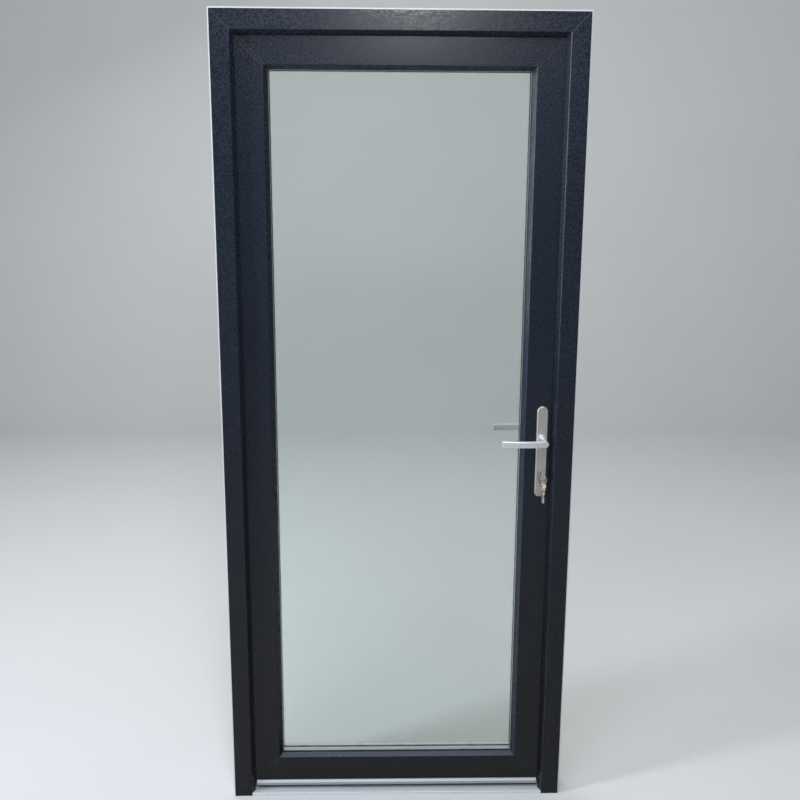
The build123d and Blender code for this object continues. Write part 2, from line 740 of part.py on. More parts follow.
def knuckle(z0, z1):
    """One knuckle around the hinge line."""
    with BuildSketch(Plane(origin=(HINGE_X, HINGE_Y, z0), z_dir=(0, 0, 1))) as circle:
        Circle(KNUCKLE_R)
    extrude(circle.sketch, amount=z1 - z0)


def pin_bore(z, radius):
    """The hole along the hinge line."""
    half = HINGE_HEIGHT / 2 + 1
    with BuildSketch(Plane(origin=(HINGE_X, HINGE_Y, z - half), z_dir=(0, 0, 1))) as circle:
        Circle(radius)
    extrude(circle.sketch, amount=2 * half, mode=Mode.SUBTRACT)


for z, place in zip(HINGE_Z, ("lower", "middle", "upper")):
    with BuildPart() as frame_leaf:
        block(
            (FRAME_LEAF_X[0], ROOM_Y, z - FRAME_LEAF_HALF),
            (FRAME_LEAF_X[1], ROOM_Y + HINGE_PLATE, z + FRAME_LEAF_HALF),
        )
        fillet(frame_leaf.edges().filter_by(Axis.Y), radius=HINGE_CORNER)
        for low, high in (
            (z - HINGE_HEIGHT / 2, z - MIDDLE_HALF - KNUCKLE_GAP),
            (z + MIDDLE_HALF + KNUCKLE_GAP, z + HINGE_HEIGHT / 2),
        ):
            knuckle(low, high)
            arm_low = (HINGE_X - ARM_HALF, ROOM_Y + HINGE_PLATE / 2, low)
            block(arm_low, (HINGE_X + ARM_HALF, HINGE_Y, high))
        pin_bore(z, PIN_R + 0.01)
        for dz in HINGE_SCREW_DZ:
            drill_through(HINGE_SCREW_X, z + dz, ROOM_Y - 1, ROOM_Y + HINGE_PLATE + 1, SCREW_HOLE_R)
    finish(frame_leaf, f"hinge_frame_leaf_{place}")
    with BuildPart() as door_leaf:
        block(
            (DOOR_LEAF_X[0], HINGE_Y, z - DOOR_LEAF_HALF),
            (DOOR_LEAF_X[1], HINGE_Y + HINGE_PLATE, z + DOOR_LEAF_HALF),
        )
        fillet(door_leaf.edges().filter_by(Axis.Y), radius=HINGE_CORNER)
        knuckle(z - MIDDLE_HALF, z + MIDDLE_HALF)
        block(
            (HINGE_X, HINGE_Y, z - MIDDLE_HALF),
            (DOOR_LEAF_X[0] + 1, HINGE_Y + HINGE_PLATE, z + MIDDLE_HALF),
        )
        pin_bore(z, PIN_R + RUN_CLEARANCE)
        for x in HINGE_LEAF_SCREW_X:
            for dz in HINGE_LEAF_SCREW_DZ:
                drill_through(x, z + dz, HINGE_Y - 1, HINGE_Y + HINGE_PLATE + 1, SCREW_HOLE_R)
    finish(door_leaf, f"hinge_door_leaf_{place}")

with BuildPart() as hinge_pins:
    for z in HINGE_Z:
        half = HINGE_HEIGHT / 2
        with BuildSketch(Plane(origin=(HINGE_X, HINGE_Y, z - half), z_dir=(0, 0, 1))):
            Circle(PIN_R)
        extrude(amount=2 * half)
        for end in (z - half - PIN_CAP, z + half):
            with BuildSketch(Plane(origin=(HINGE_X, HINGE_Y, end), z_dir=(0, 0, 1))):
                Circle(PIN_CAP_R)
            extrude(amount=PIN_CAP)
finish(hinge_pins, "hinge_pins")

# Screws of the hinges and keeps

SCREW_R = 2
HEAD_R = 3.8
HEAD_HEIGHT = 2.2


def screw(x, y, z, direction, length):
    """A pan-head screw whose head's underside is at the given point."""
    seat = Plane(origin=(x, y, z), z_dir=direction)
    with BuildSketch(seat) as head:
        Circle(HEAD_R)
    extrude(head.sketch, amount=-HEAD_HEIGHT, taper=12)
    with BuildSketch(seat) as shank:
        Circle(SCREW_R)
    extrude(shank.sketch, amount=length)


KEEP_X = REBATE_X - KEEP_THICK
with BuildPart() as frame_screws:
    for z in HINGE_Z:
        for dz in HINGE_SCREW_DZ:
            screw(HINGE_SCREW_X, ROOM_Y + HINGE_PLATE, z + dz, (0, -1, 0), SCREW_REACH)
    for z in KEEP_SCREW_Z:
        screw(KEEP_X, GROOVE_Y, z, (1, 0, 0), SCREW_REACH)
finish(frame_screws, "frame_screws")

with BuildPart() as leaf_screws:
    for z in HINGE_Z:
        for x in HINGE_LEAF_SCREW_X:
            for dz in HINGE_LEAF_SCREW_DZ:
                screw(x, HINGE_Y + HINGE_PLATE, z + dz, (0, -1, 0), HINGE_Y + HINGE_PLATE - LEAF_SCREW_Y0)
finish(leaf_screws, "leaf_screws")

# Keeps on the lock side of the frame

KEEP_Y = (GROOVE_Y - 11, ROOM_Y - 0.5)
WINDOW_PLAY = 1.5


def keep_plate(low, high, windows):
    """A flat keep with one window for each bolt."""
    block((KEEP_X, KEEP_Y[0], low), (REBATE_X, KEEP_Y[1], high))
    for z, half_z in windows:
        block(
            (KEEP_X - 1, GROOVE_Y - BOLT_HALF_Y - WINDOW_PLAY, z - half_z - WINDOW_PLAY),
            (REBATE_X + 1, GROOVE_Y + BOLT_HALF_Y + WINDOW_PLAY, z + half_z + WINDOW_PLAY),
            mode=Mode.SUBTRACT,
        )


with BuildPart() as lock_keep:
    keep_low = DEADBOLT_Z - DEADBOLT_HALF_Z - KEEP_MARGIN
    keep_high = LATCH_Z + LATCH_HALF_Z + KEEP_MARGIN
    keep_plate(keep_low, keep_high, ((LATCH_Z, LATCH_HALF_Z), (DEADBOLT_Z, DEADBOLT_HALF_Z)))
    fillet(lock_keep.edges().filter_by(Axis.X), radius=1)
    for z in KEEP_SCREW_Z[-2:]:
        drill_across(KEEP_X - 1, REBATE_X + 1, GROOVE_Y, [z], SCREW_HOLE_R)
finish(lock_keep, "lock_keep")

for z, place in zip(SIDE_BOLT_Z, ("lower", "upper")):
    with BuildPart() as side_keep:
        reach = SIDE_BOLT_HALF_Z + KEEP_MARGIN
        keep_plate(z - reach, z + reach, ((z, SIDE_BOLT_HALF_Z),))
        fillet(side_keep.edges().filter_by(Axis.X), radius=1)
        for dz in (-SIDE_KEEP_SCREW_DZ, SIDE_KEEP_SCREW_DZ):
            drill_across(KEEP_X - 1, REBATE_X + 1, GROOVE_Y, [z + dz], SCREW_HOLE_R)
    finish(side_keep, f"keep_{place}")

# Lock cases, open at the edge of the stile where the bolts and rods run

CASE_Y = (GROOVE_Y - CASE_THICK / 2, GROOVE_Y + CASE_THICK / 2)
CASE_LOW = CYLINDER_Z - CASE_BELOW
CASE_HIGH = SPINDLE_Z + CASE_ABOVE
CAM_Y = (GROOVE_Y - 5, GROOVE_Y + 5)
CAM_R = 15
CAM_CAVITY_R = CAM_R + 0.7
CASE_SPINDLE_R = 6
ROD_THICK = 2.6
ROD_HALF_Y = 5.5
ROD_TRAVEL = 18
ROD_OVERLAP = 25
CYLINDER_SCREW_R = 2.5
CYLINDER_SCREW_HEAD_R = 3.9
CYLINDER_SCREW_HEAD = 1.4
CYLINDER_SCREW_Z = CYLINDER_Z - 20
BOLT_TAIL = 24
DEADBOLT_TAIL = 34
LATCH_TAIL = 24


def bolt_channel(z, half_z, reach):
    """The channel in a case in which one bolt slides."""
    block(
        (STEP_X - reach, GROOVE_Y - BOLT_HALF_Y - BOLT_PLAY, z - half_z - BOLT_PLAY),
        (STEP_X + 1, GROOVE_Y + BOLT_HALF_Y + BOLT_PLAY, z + half_z + BOLT_PLAY),
        mode=Mode.SUBTRACT,
    )


def rod_notch(low, high):
    """The notch in a case for the end of a drive rod."""
    block(
        (STEP_X - ROD_THICK - 1, GROOVE_Y - ROD_HALF_Y - BOLT_PLAY, low),
        (STEP_X + 1, GROOVE_Y + ROD_HALF_Y + BOLT_PLAY, high),
        mode=Mode.SUBTRACT,
    )


with BuildPart() as lock_case:
    block((STEP_X - CASE_DEPTH, CASE_Y[0], CASE_LOW), (STEP_X, CASE_Y[1], CASE_HIGH))
    drill_through(LOCK_X, SPINDLE_Z, CASE_Y[0] - 1, CASE_Y[1] + 1, CASE_SPINDLE_R)
    for z in PLATE_SCREW_Z:
        drill_through(LOCK_X, z, CASE_Y[0] - 1, CASE_Y[1] + 1, PLATE_SCREW_R + POCKET_PLAY)
    extrude(cylinder_outline(CASE_Y[1] + 1, BOLT_PLAY), amount=CASE_THICK + 2, mode=Mode.SUBTRACT)
    drill_through(LOCK_X, CYLINDER_Z, CAM_Y[0], CAM_Y[1], CAM_CAVITY_R)
    bolt_channel(LATCH_Z, LATCH_HALF_Z, LATCH_TAIL + LATCH_THROW)
    bolt_channel(DEADBOLT_Z, DEADBOLT_HALF_Z, DEADBOLT_TAIL)
    rod_notch(CASE_HIGH - ROD_OVERLAP - ROD_TRAVEL / 2, CASE_HIGH + 1)
    rod_notch(CASE_LOW - 1, CASE_LOW + ROD_OVERLAP + ROD_TRAVEL / 2)
    drill_across(LOCK_X, STEP_X + 1, GROOVE_Y, [CYLINDER_SCREW_Z], CYLINDER_SCREW_R + 0.1)
finish(lock_case, "lock_case")

with BuildPart() as side_lock_cases:
    for z in SIDE_BOLT_Z:
        inner = 1 if z < SPINDLE_Z else -1
        block(
            (STEP_X - SIDE_CASE_DEPTH, CASE_Y[0], z - SIDE_CASE_HALF),
            (STEP_X, CASE_Y[1], z + SIDE_CASE_HALF),
        )
        bolt_channel(z, SIDE_BOLT_HALF_Z, BOLT_TAIL)
        if z < SPINDLE_Z:
            rod_notch(z + SIDE_BOLT_HALF_Z + 3, z + SIDE_CASE_HALF + 1)
        else:
            rod_notch(z - SIDE_CASE_HALF - 1, z - SIDE_BOLT_HALF_Z - 3)
finish(side_lock_cases, "side_lock_cases")

# Faceplate in the groove of the stile, with a window for each bolt

FACEPLATE_HALF_Y = GROOVE_WIDTH / 2 - 0.1

with BuildPart() as faceplate:
    block(
        (STEP_X, GROOVE_Y - FACEPLATE_HALF_Y, FACEPLATE_Z[0]),
        (EDGE_X, GROOVE_Y + FACEPLATE_HALF_Y, FACEPLATE_Z[1]),
    )
    fillet(faceplate.edges().filter_by(Axis.X), radius=4)
    windows = [(LATCH_Z, LATCH_HALF_Z), (DEADBOLT_Z, DEADBOLT_HALF_Z)]
    windows += [(z, SIDE_BOLT_HALF_Z) for z in SIDE_BOLT_Z]
    for z, half_z in windows:
        block(
            (STEP_X - 1, GROOVE_Y - BOLT_HALF_Y - BOLT_PLAY, z - half_z - BOLT_PLAY),
            (EDGE_X + 1, GROOVE_Y + BOLT_HALF_Y + BOLT_PLAY, z + half_z + BOLT_PLAY),
            mode=Mode.SUBTRACT,
        )
    drill_across(STEP_X - 1, EDGE_X + 1, GROOVE_Y, [CYLINDER_SCREW_Z], CYLINDER_SCREW_R + 0.1)
    recess = (EDGE_X - CYLINDER_SCREW_HEAD - 0.1, EDGE_X + 1)
    drill_across(*recess, GROOVE_Y, [CYLINDER_SCREW_Z], CYLINDER_SCREW_HEAD_R + 0.4)
finish(faceplate, "faceplate")

# Latch with its slope towards the outside, deadbolt, side bolts and drive rods

with BuildPart() as latch_bolt:
    with BuildSketch(Plane.XY.offset(LATCH_Z - LATCH_HALF_Z)):
        with BuildLine():
            Polyline(
                (STEP_X - LATCH_TAIL, GROOVE_Y - BOLT_HALF_Y),
                (EDGE_X + 1, GROOVE_Y - BOLT_HALF_Y),
                (EDGE_X + LATCH_THROW, GROOVE_Y + 2),
                (EDGE_X + LATCH_THROW, GROOVE_Y + BOLT_HALF_Y),
                (STEP_X - LATCH_TAIL, GROOVE_Y + BOLT_HALF_Y),
                close=True,
            )
        make_face()
    extrude(amount=2 * LATCH_HALF_Z)
finish(latch_bolt, "latch_bolt")

with BuildPart() as deadbolt:
    block(
        (STEP_X - DEADBOLT_TAIL + 0.5, GROOVE_Y - BOLT_HALF_Y, DEADBOLT_Z - DEADBOLT_HALF_Z),
        (EDGE_X, GROOVE_Y + BOLT_HALF_Y, DEADBOLT_Z + DEADBOLT_HALF_Z),
    )
    fillet(deadbolt.faces().sort_by(Axis.X)[-1].edges(), radius=1)
finish(deadbolt, "deadbolt")

with BuildPart() as side_bolts:
    for z in SIDE_BOLT_Z:
        block(
            (STEP_X - BOLT_TAIL + 0.5, GROOVE_Y - BOLT_HALF_Y, z - SIDE_BOLT_HALF_Z),
            (EDGE_X, GROOVE_Y + BOLT_HALF_Y, z + SIDE_BOLT_HALF_Z),
        )
    fillet(side_bolts.faces().sort_by(Axis.X)[-1].edges(), radius=1)
finish(side_bolts, "side_bolts")

ROD_X = (STEP_X - ROD_THICK - 0.4, STEP_X - 0.4)
ROD_LENGTHS = (
    (CASE_HIGH - ROD_OVERLAP, SIDE_BOLT_Z[1] - SIDE_CASE_HALF + 7),
    (SIDE_BOLT_Z[0] + SIDE_BOLT_HALF_Z + 8, CASE_LOW + 9),
)
with BuildPart() as drive_rods:
    for low, high in ROD_LENGTHS:
        block((ROD_X[0], GROOVE_Y - ROD_HALF_Y, low), (ROD_X[1], GROOVE_Y + ROD_HALF_Y, high))
finish(drive_rods, "drive_rods")

# Lock cylinder, its screw, the turning plug with its cam, and two keys on a ring

KEY_SLOT = (2.2, 8.2)
KEY_BLADE = (2.0, 8.0)
HUB_Y = (GROOVE_Y - 4.5, GROOVE_Y + 4.5)
HUB_R = CYLINDER_R - 0.1
LOBE_WIDTH = 8
BRIDGE_TOP = CYLINDER_Z - CAM_R - 1
KEY_END_Y = CYLINDER_OUT_Y + 30
KEY_THICK = 2.2
BOW_R = 11
BOW_Y = CYLINDER_OUT_Y - 16
BOW_HOLE_Y = BOW_Y - 6
BOW_HOLE_R = 3.6
SHOULDER = 9


def across_lock(y):
    """A plane facing outside, centred on the cylinder's axis at one depth."""
    return Plane(origin=(LOCK_X, y, CYLINDER_Z), x_dir=(1, 0, 0), z_dir=(0, -1, 0))


with BuildPart() as cylinder_body:
    add(extrude(cylinder_outline(CYLINDER_IN_Y), amount=CYLINDER_IN_Y - CYLINDER_OUT_Y))
    drill_through(LOCK_X, CYLINDER_Z, CYLINDER_OUT_Y - 1, CAM_Y[1], PLUG_R + RUN_CLEARANCE)
    block(
        (LOCK_X - 2 * CYLINDER_R, CAM_Y[0], BRIDGE_TOP),
        (LOCK_X + 2 * CYLINDER_R, CAM_Y[1], CYLINDER_Z + 2 * CYLINDER_R),
        mode=Mode.SUBTRACT,
    )
    sides = (LOCK_X - 2 * CYLINDER_R, LOCK_X + 2 * CYLINDER_R)
    drill_across(*sides, GROOVE_Y, [CYLINDER_SCREW_Z], CYLINDER_SCREW_R + RUN_CLEARANCE)
    with BuildSketch(across_lock(CYLINDER_IN_Y)) as inner_slot:
        Rectangle(*KEY_SLOT)
    extrude(inner_slot.sketch, amount=KEY_SLOT[1], mode=Mode.SUBTRACT)
finish(cylinder_body, "cylinder_body")

with BuildPart() as cylinder_screw:
    with BuildSketch(Plane(origin=(EDGE_X, GROOVE_Y, CYLINDER_SCREW_Z), z_dir=(-1, 0, 0))):
        Circle(CYLINDER_SCREW_R)
    extrude(amount=EDGE_X - LOCK_X + 2)
    with BuildSketch(Plane(origin=(EDGE_X, GROOVE_Y, CYLINDER_SCREW_Z), z_dir=(-1, 0, 0))):
        Circle(CYLINDER_SCREW_HEAD_R)
    extrude(amount=CYLINDER_SCREW_HEAD)
finish(cylinder_screw, "cylinder_screw")

with BuildPart() as plug_and_cam:
    with BuildSketch(across_lock(HUB_Y[1])):
        Circle(PLUG_R)
    extrude(amount=HUB_Y[1] - CYLINDER_OUT_Y)
    with BuildSketch(across_lock(HUB_Y[1])):
        Circle(HUB_R)
        with Locations((0, -CAM_R / 2)):
            Rectangle(LOBE_WIDTH, CAM_R - 1)
        with Locations((0, -CAM_R + LOBE_WIDTH / 2 + 0.4)):
            Circle(LOBE_WIDTH / 2)
    extrude(amount=HUB_Y[1] - HUB_Y[0])
    with BuildSketch(across_lock(KEY_END_Y + 2)):
        Rectangle(*KEY_SLOT)
    extrude(amount=KEY_END_Y + 3 - CYLINDER_OUT_Y, mode=Mode.SUBTRACT)
finish(plug_and_cam, "plug_and_cam")

key_side = Plane(
    origin=(LOCK_X - KEY_THICK / 2, BOW_Y, CYLINDER_Z),
    x_dir=(0, 1, 0),
    z_dir=(1, 0, 0),
)
with BuildPart() as key:
    with BuildSketch(key_side):
        Circle(BOW_R)
        with Locations((BOW_R - 1, 0)):
            RectangleRounded(10, SHOULDER, 2)
        with Locations((BOW_HOLE_Y - BOW_Y, 0)):
            Circle(BOW_HOLE_R, mode=Mode.SUBTRACT)
    extrude(amount=KEY_THICK)
    block(
        (LOCK_X - KEY_BLADE[0] / 2, BOW_Y + BOW_R, CYLINDER_Z - KEY_BLADE[1] / 2),
        (LOCK_X + KEY_BLADE[0] / 2, KEY_END_Y, CYLINDER_Z + KEY_BLADE[1] / 2),
    )
    split(bisect_by=Plane(origin=(LOCK_X, KEY_END_Y, CYLINDER_Z - 4), z_dir=(0, 1, -1)), keep=Keep.BOTTOM)
finish(key, "key")

RING_R = 9
RING_WIRE = 0.9
RING_CENTRE = (LOCK_X + 3.2, BOW_HOLE_Y - 3.2, CYLINDER_Z - 7.8)
ring_plane = Plane(origin=RING_CENTRE, x_dir=(0, 0, 1), z_dir=(1, 1, 0))
with BuildPart() as key_ring:
    with Locations(ring_plane):
        Torus(RING_R, RING_WIRE)
finish(key_ring, "key_ring")

SPARE_X = RING_CENTRE[0]
SPARE_HOLE_Z = RING_CENTRE[2] - RING_R
SPARE_BOW = (14, 20)
SPARE_TIP_Z = SPARE_HOLE_Z - 54
spare_face = Plane(
    origin=(SPARE_X, RING_CENTRE[1] + KEY_THICK / 2, SPARE_HOLE_Z),
    x_dir=(1, 0, 0),
    z_dir=(0, -1, 0),
)
with BuildPart() as spare_key:
    with BuildSketch(spare_face):
        with Locations((0, -7.2)):
            Ellipse(SPARE_BOW[0] / 2, SPARE_BOW[1] / 2)
        with Locations((0, -16)):
            RectangleRounded(SHOULDER, 8, 2)
        Circle(BOW_HOLE_R - 0.6, mode=Mode.SUBTRACT)
    extrude(amount=KEY_THICK)
    block(
        (SPARE_X - KEY_BLADE[1] / 2, RING_CENTRE[1] - KEY_BLADE[0] / 2, SPARE_TIP_Z),
        (SPARE_X + KEY_BLADE[1] / 2, RING_CENTRE[1] + KEY_BLADE[0] / 2, SPARE_HOLE_Z - 18),
    )
finish(spare_key, "spare_key")

# Handle plates: a long plate with a round top and a flatter foot, bevelled all round

PLATE_TOP = SPINDLE_Z + PLATE_ABOVE
PLATE_FOOT = CYLINDER_Z - PLATE_BELOW
PLATE_BEVEL = 1.6
NECK_R = 9
FOOT_CORNER = 9
PLATE_SCREW_END = 6
PLATE_SCREW_HEAD = 2.5
MID_Y = (SASH_Y + SASH_BACK) / 2


def plate_outline(y, facing):
    """The front outline of a handle plate in the plane at y."""
    with BuildSketch(Plane(origin=(LOCK_X, y, 0), x_dir=(facing, 0, 0), z_dir=(0, -facing, 0))) as face:
        with BuildLine():
            FilletPolyline(
                (-PLATE_WIDTH / 2, PLATE_TOP),
                (PLATE_WIDTH / 2, PLATE_TOP),
                (PLATE_WIDTH / 2, PLATE_FOOT),
                (-PLATE_WIDTH / 2, PLATE_FOOT),
                radius=[PLATE_WIDTH / 2 - 0.05, PLATE_WIDTH / 2 - 0.05, FOOT_CORNER, FOOT_CORNER],
                close=True,
            )
        make_face()
    return face.sketch


for place, y, facing in (("outside", SASH_Y, 1), ("inside", SASH_BACK, -1)):
    front = y - facing * PLATE_THICK
    low, high = sorted((y, front))
    with BuildPart() as handle_plate:
        extrude(plate_outline(y, facing), amount=PLATE_THICK)
        chamfer(handle_plate.faces().sort_by(Axis.Y)[0 if facing > 0 else -1].edges(), length=PLATE_BEVEL)
        drill_through(LOCK_X, SPINDLE_Z, low - 1, high + 1, NECK_R + RUN_CLEARANCE)
        extrude(cylinder_outline(high + 1, 0.4), amount=PLATE_THICK + 2, mode=Mode.SUBTRACT)
        for z in PLATE_SCREW_Z:
            if place == "outside":
                drill_through(LOCK_X, z, y - PLATE_SCREW_END, y + 1, PLATE_SCREW_R + RUN_CLEARANCE)
            else:
                drill_through(LOCK_X, z, low - 1, high + 1, PLATE_SCREW_R + RUN_CLEARANCE)
    finish(handle_plate, f"handle_plate_{place}")

with BuildPart() as handle_plate_screws:
    for z in PLATE_SCREW_Z:
        seat = Plane(origin=(LOCK_X, SASH_BACK + PLATE_THICK, z), z_dir=(0, -1, 0))
        with BuildSketch(seat):
            Circle(PLATE_SCREW_R)
        extrude(amount=SASH_DEPTH + PLATE_THICK + PLATE_SCREW_END - 0.5)
        with BuildSketch(seat):
            Circle(2 * PLATE_SCREW_R)
        extrude(amount=-PLATE_SCREW_HEAD, taper=10)
finish(handle_plate_screws, "handle_plate_screws")

# Levers on a square spindle, bowed gently away from the door

BAR_END_X = LOCK_X + 9
BAR_TIP_X = LOCK_X - LEVER_LENGTH + 1
BAR_MID_X = LOCK_X - LEVER_STANDOFF
NECK_Y = SASH_Y - 1
BAR_Z = SPINDLE_Z - LEVER_HEIGHT / 2
SOCKET = SPINDLE_SIDE + 0.1
SPINDLE_Y = (SASH_Y - 37, SASH_BACK + 37)
BAR_FRONT = SASH_Y - LEVER_STANDOFF - LEVER_THICK
BAR_BACK = BAR_FRONT + LEVER_THICK
BOW = 6


def lever():
    """The outside lever: neck, bar with a gentle bow, and the socket for the spindle."""
    with BuildPart() as grip:
        with BuildSketch(Plane.XY.offset(BAR_Z)):
            with BuildLine():
                ThreePointArc(
                    (BAR_END_X, BAR_FRONT), (BAR_MID_X, BAR_FRONT - BOW), (BAR_TIP_X, BAR_FRONT + 1)
                )
                Line((BAR_TIP_X, BAR_FRONT + 1), (BAR_TIP_X, BAR_BACK + 1))
                ThreePointArc(
                    (BAR_TIP_X, BAR_BACK + 1), (BAR_MID_X, BAR_BACK - BOW), (BAR_END_X, BAR_BACK)
                )
                Line((BAR_END_X, BAR_BACK), (BAR_END_X, BAR_FRONT))
            make_face()
        extrude(amount=LEVER_HEIGHT)
        fillet(grip.edges().filter_by(Axis.Y).sort_by(Axis.X)[-2:], radius=LEVER_HEIGHT / 2 - 0.3)
        fillet(grip.edges().filter_by(Axis.Y).sort_by(Axis.X)[:2], radius=2.5)
        long_faces = grip.faces().filter_by(lambda face: abs(face.normal_at().Y) > 0.9)
        fillet(long_faces.edges(), radius=2.4)
        with BuildSketch(Plane(origin=(LOCK_X, NECK_Y, SPINDLE_Z), z_dir=(0, -1, 0))):
            Circle(NECK_R)
        extrude(amount=NECK_Y - BAR_FRONT - LEVER_THICK / 2)
        with BuildSketch(Plane(origin=(LOCK_X, NECK_Y, SPINDLE_Z), z_dir=(0, -1, 0))):
            Rectangle(SOCKET, SOCKET)
        extrude(amount=NECK_Y - SPINDLE_Y[0] + 0.5, mode=Mode.SUBTRACT)
    return grip.part


with BuildPart() as lever_outside:
    add(lever())
finish(lever_outside, "lever_outside")

with BuildPart() as lever_inside:
    add(mirror(lever(), about=Plane.XZ.offset(-MID_Y), mode=Mode.PRIVATE))
finish(lever_inside, "lever_inside")

with BuildPart() as spindle:
    half = SPINDLE_SIDE / 2
    block(
        (LOCK_X - half, SPINDLE_Y[0], SPINDLE_Z - half),
        (LOCK_X + half, SPINDLE_Y[1], SPINDLE_Z + half),
    )
finish(spindle, "spindle")
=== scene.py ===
# %% [markdown]
# # A glazed entrance door, dressed in Blender
#
# The solid model of the door is loaded as a fixed frame. Each solid keeps its place and gets a
# finish, and the small pieces that a solid can only hint at are modelled here on top of it.

# %% Load the solid model
import math
from functools import partial

import bmesh
import bpy
from mathutils import Matrix, Vector


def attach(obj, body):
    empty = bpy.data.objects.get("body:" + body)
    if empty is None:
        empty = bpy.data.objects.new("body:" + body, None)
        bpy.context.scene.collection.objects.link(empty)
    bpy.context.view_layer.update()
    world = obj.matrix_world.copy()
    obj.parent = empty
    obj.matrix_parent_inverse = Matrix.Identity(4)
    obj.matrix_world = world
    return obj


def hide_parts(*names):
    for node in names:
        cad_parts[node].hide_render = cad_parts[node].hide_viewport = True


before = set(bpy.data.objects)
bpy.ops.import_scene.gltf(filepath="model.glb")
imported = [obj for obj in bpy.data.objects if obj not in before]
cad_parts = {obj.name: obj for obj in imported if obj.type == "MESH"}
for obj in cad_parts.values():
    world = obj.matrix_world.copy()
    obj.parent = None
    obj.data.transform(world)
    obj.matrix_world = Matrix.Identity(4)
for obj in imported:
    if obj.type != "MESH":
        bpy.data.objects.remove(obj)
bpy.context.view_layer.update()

# %% [markdown]
# ## The camera
#
# The door is seen from the street, from a good half metre above the handle and slightly left
# of its middle. The camera turns about the upright, tips down and leans by a third of a
# degree. Its lens is given by the picture's width and its focal length in pixels.

# %% Camera
PHOTO_WIDTH = 800
FOCAL_PIXELS = 960
SENSOR = 36.0


def aim_camera(place, turn, tip, lean):
    """Put the camera at a place and turn it by three angles in degrees."""
    data = bpy.data.cameras.new("street_view")
    data.sensor_width = SENSOR
    data.lens = FOCAL_PIXELS / PHOTO_WIDTH * SENSOR
    camera = bpy.data.objects.new("street_view", data)
    bpy.context.collection.objects.link(camera)
    turned = Matrix.Rotation(math.radians(turn), 4, "Z")
    tipped = Matrix.Rotation(math.radians(tip), 4, "X")
    leant = Matrix.Rotation(math.radians(lean), 4, "Y")
    level = Matrix.Rotation(math.radians(90), 4, "X")
    camera.matrix_world = Matrix.Translation(place) @ turned @ tipped @ leant @ level
    bpy.context.scene.camera = camera
    return camera


camera = aim_camera(place=(-0.053, -2.400, 1.638), turn=-1.34, tip=-12.36, lean=-0.31)
print("lens", round(camera.data.lens, 1), "mm")

# %% [markdown]
# ## Light and floor
#
# A studio look: a pale floor that bends up into a backdrop, and a pale surrounding that only
# the camera and the glass see at full strength. Two large lamps with the cool light of a sky
# stand on the street side, above and to the left, so that the dark profiles fade towards the
# floor, and a painted shade in the foil's colour darkens them further there. A small one
# makes the glow in the middle of the head. Two plain ones light the threshold and the room
# side. One rectangle per lamp was chosen because soft light shows the relief of a dark
# surface without hard shadows.

# %% Floor, surroundings and lamps
FLOOR_SIZE = 16.0
FLOOR_MIDDLE_Y = -4.0
BACKDROP_HEIGHT = 6.0
BACKDROP_BEND = 2.5
BACKDROP_STEPS = 24
ON_EDGE = 1e-4
SURROUND = (0.80, 0.81, 0.83, 1.0)
SKY = (0.78, 0.87, 1.0)
PLAIN = (1.0, 0.99, 0.97)


def make_floor():
    """A pale floor that curves up into a backdrop behind the door."""
    bpy.ops.object.select_all(action="DESELECT")
    bpy.ops.mesh.primitive_plane_add(size=FLOOR_SIZE, location=(0, FLOOR_MIDDLE_Y, 0))
    floor = bpy.context.object
    floor.name = "floor"
    bpy.ops.object.transform_apply(location=True, rotation=True, scale=True)
    far = FLOOR_MIDDLE_Y + FLOOR_SIZE / 2
    bpy.ops.object.mode_set(mode="EDIT")
    mesh = bmesh.from_edit_mesh(floor.data)
    for edge in mesh.edges:
        edge.select_set(all(abs(v.co.y - far) < ON_EDGE for v in edge.verts))
    bmesh.update_edit_mesh(floor.data)
    bpy.ops.mesh.extrude_region_move(TRANSFORM_OT_translate={"value": (0, 0, BACKDROP_HEIGHT)})
    for edge in mesh.edges:
        at_far_side = all(abs(v.co.y - far) < ON_EDGE for v in edge.verts)
        on_floor = all(abs(v.co.z) < ON_EDGE for v in edge.verts)
        edge.select_set(at_far_side and on_floor)
    bmesh.update_edit_mesh(floor.data)
    bpy.ops.mesh.bevel(offset=BACKDROP_BEND, segments=BACKDROP_STEPS)
    bpy.ops.object.mode_set(mode="OBJECT")
    bpy.ops.object.shade_smooth()
    return floor


def make_world(light_strength, seen_strength):
    """One even surrounding: weak as a light, brighter to the camera and through the glass."""
    world = bpy.data.worlds.new("studio")
    world.use_nodes = True
    bpy.context.scene.world = world
    tree = world.node_tree
    background = tree.nodes["Background"]
    background.inputs["Color"].default_value = SURROUND
    rays = tree.nodes.new("ShaderNodeLightPath")
    seen = tree.nodes.new("ShaderNodeMath")
    seen.operation = "MAXIMUM"
    tree.links.new(rays.outputs["Is Camera Ray"], seen.inputs[0])
    tree.links.new(rays.outputs["Is Transmission Ray"], seen.inputs[1])
    strength = tree.nodes.new("ShaderNodeMapRange")
    strength.inputs["To Min"].default_value = light_strength
    strength.inputs["To Max"].default_value = seen_strength
    tree.links.new(seen.outputs[0], strength.inputs["Value"])
    tree.links.new(strength.outputs["Result"], background.inputs["Strength"])


def add_lamp(name, place, target, size, watts, colour):
    """One soft rectangular lamp that faces a point."""
    data = bpy.data.lights.new(name, "AREA")
    data.shape = "RECTANGLE"
    data.size, data.size_y = size
    data.energy = watts
    data.color = colour
    lamp = bpy.data.objects.new(name, data)
    bpy.context.collection.objects.link(lamp)
    lamp.location = place
    direction = Vector(target) - Vector(place)
    lamp.rotation_euler = direction.to_track_quat("-Z", "Y").to_euler()


floor = make_floor()
make_world(light_strength=0.50, seen_strength=0.95)

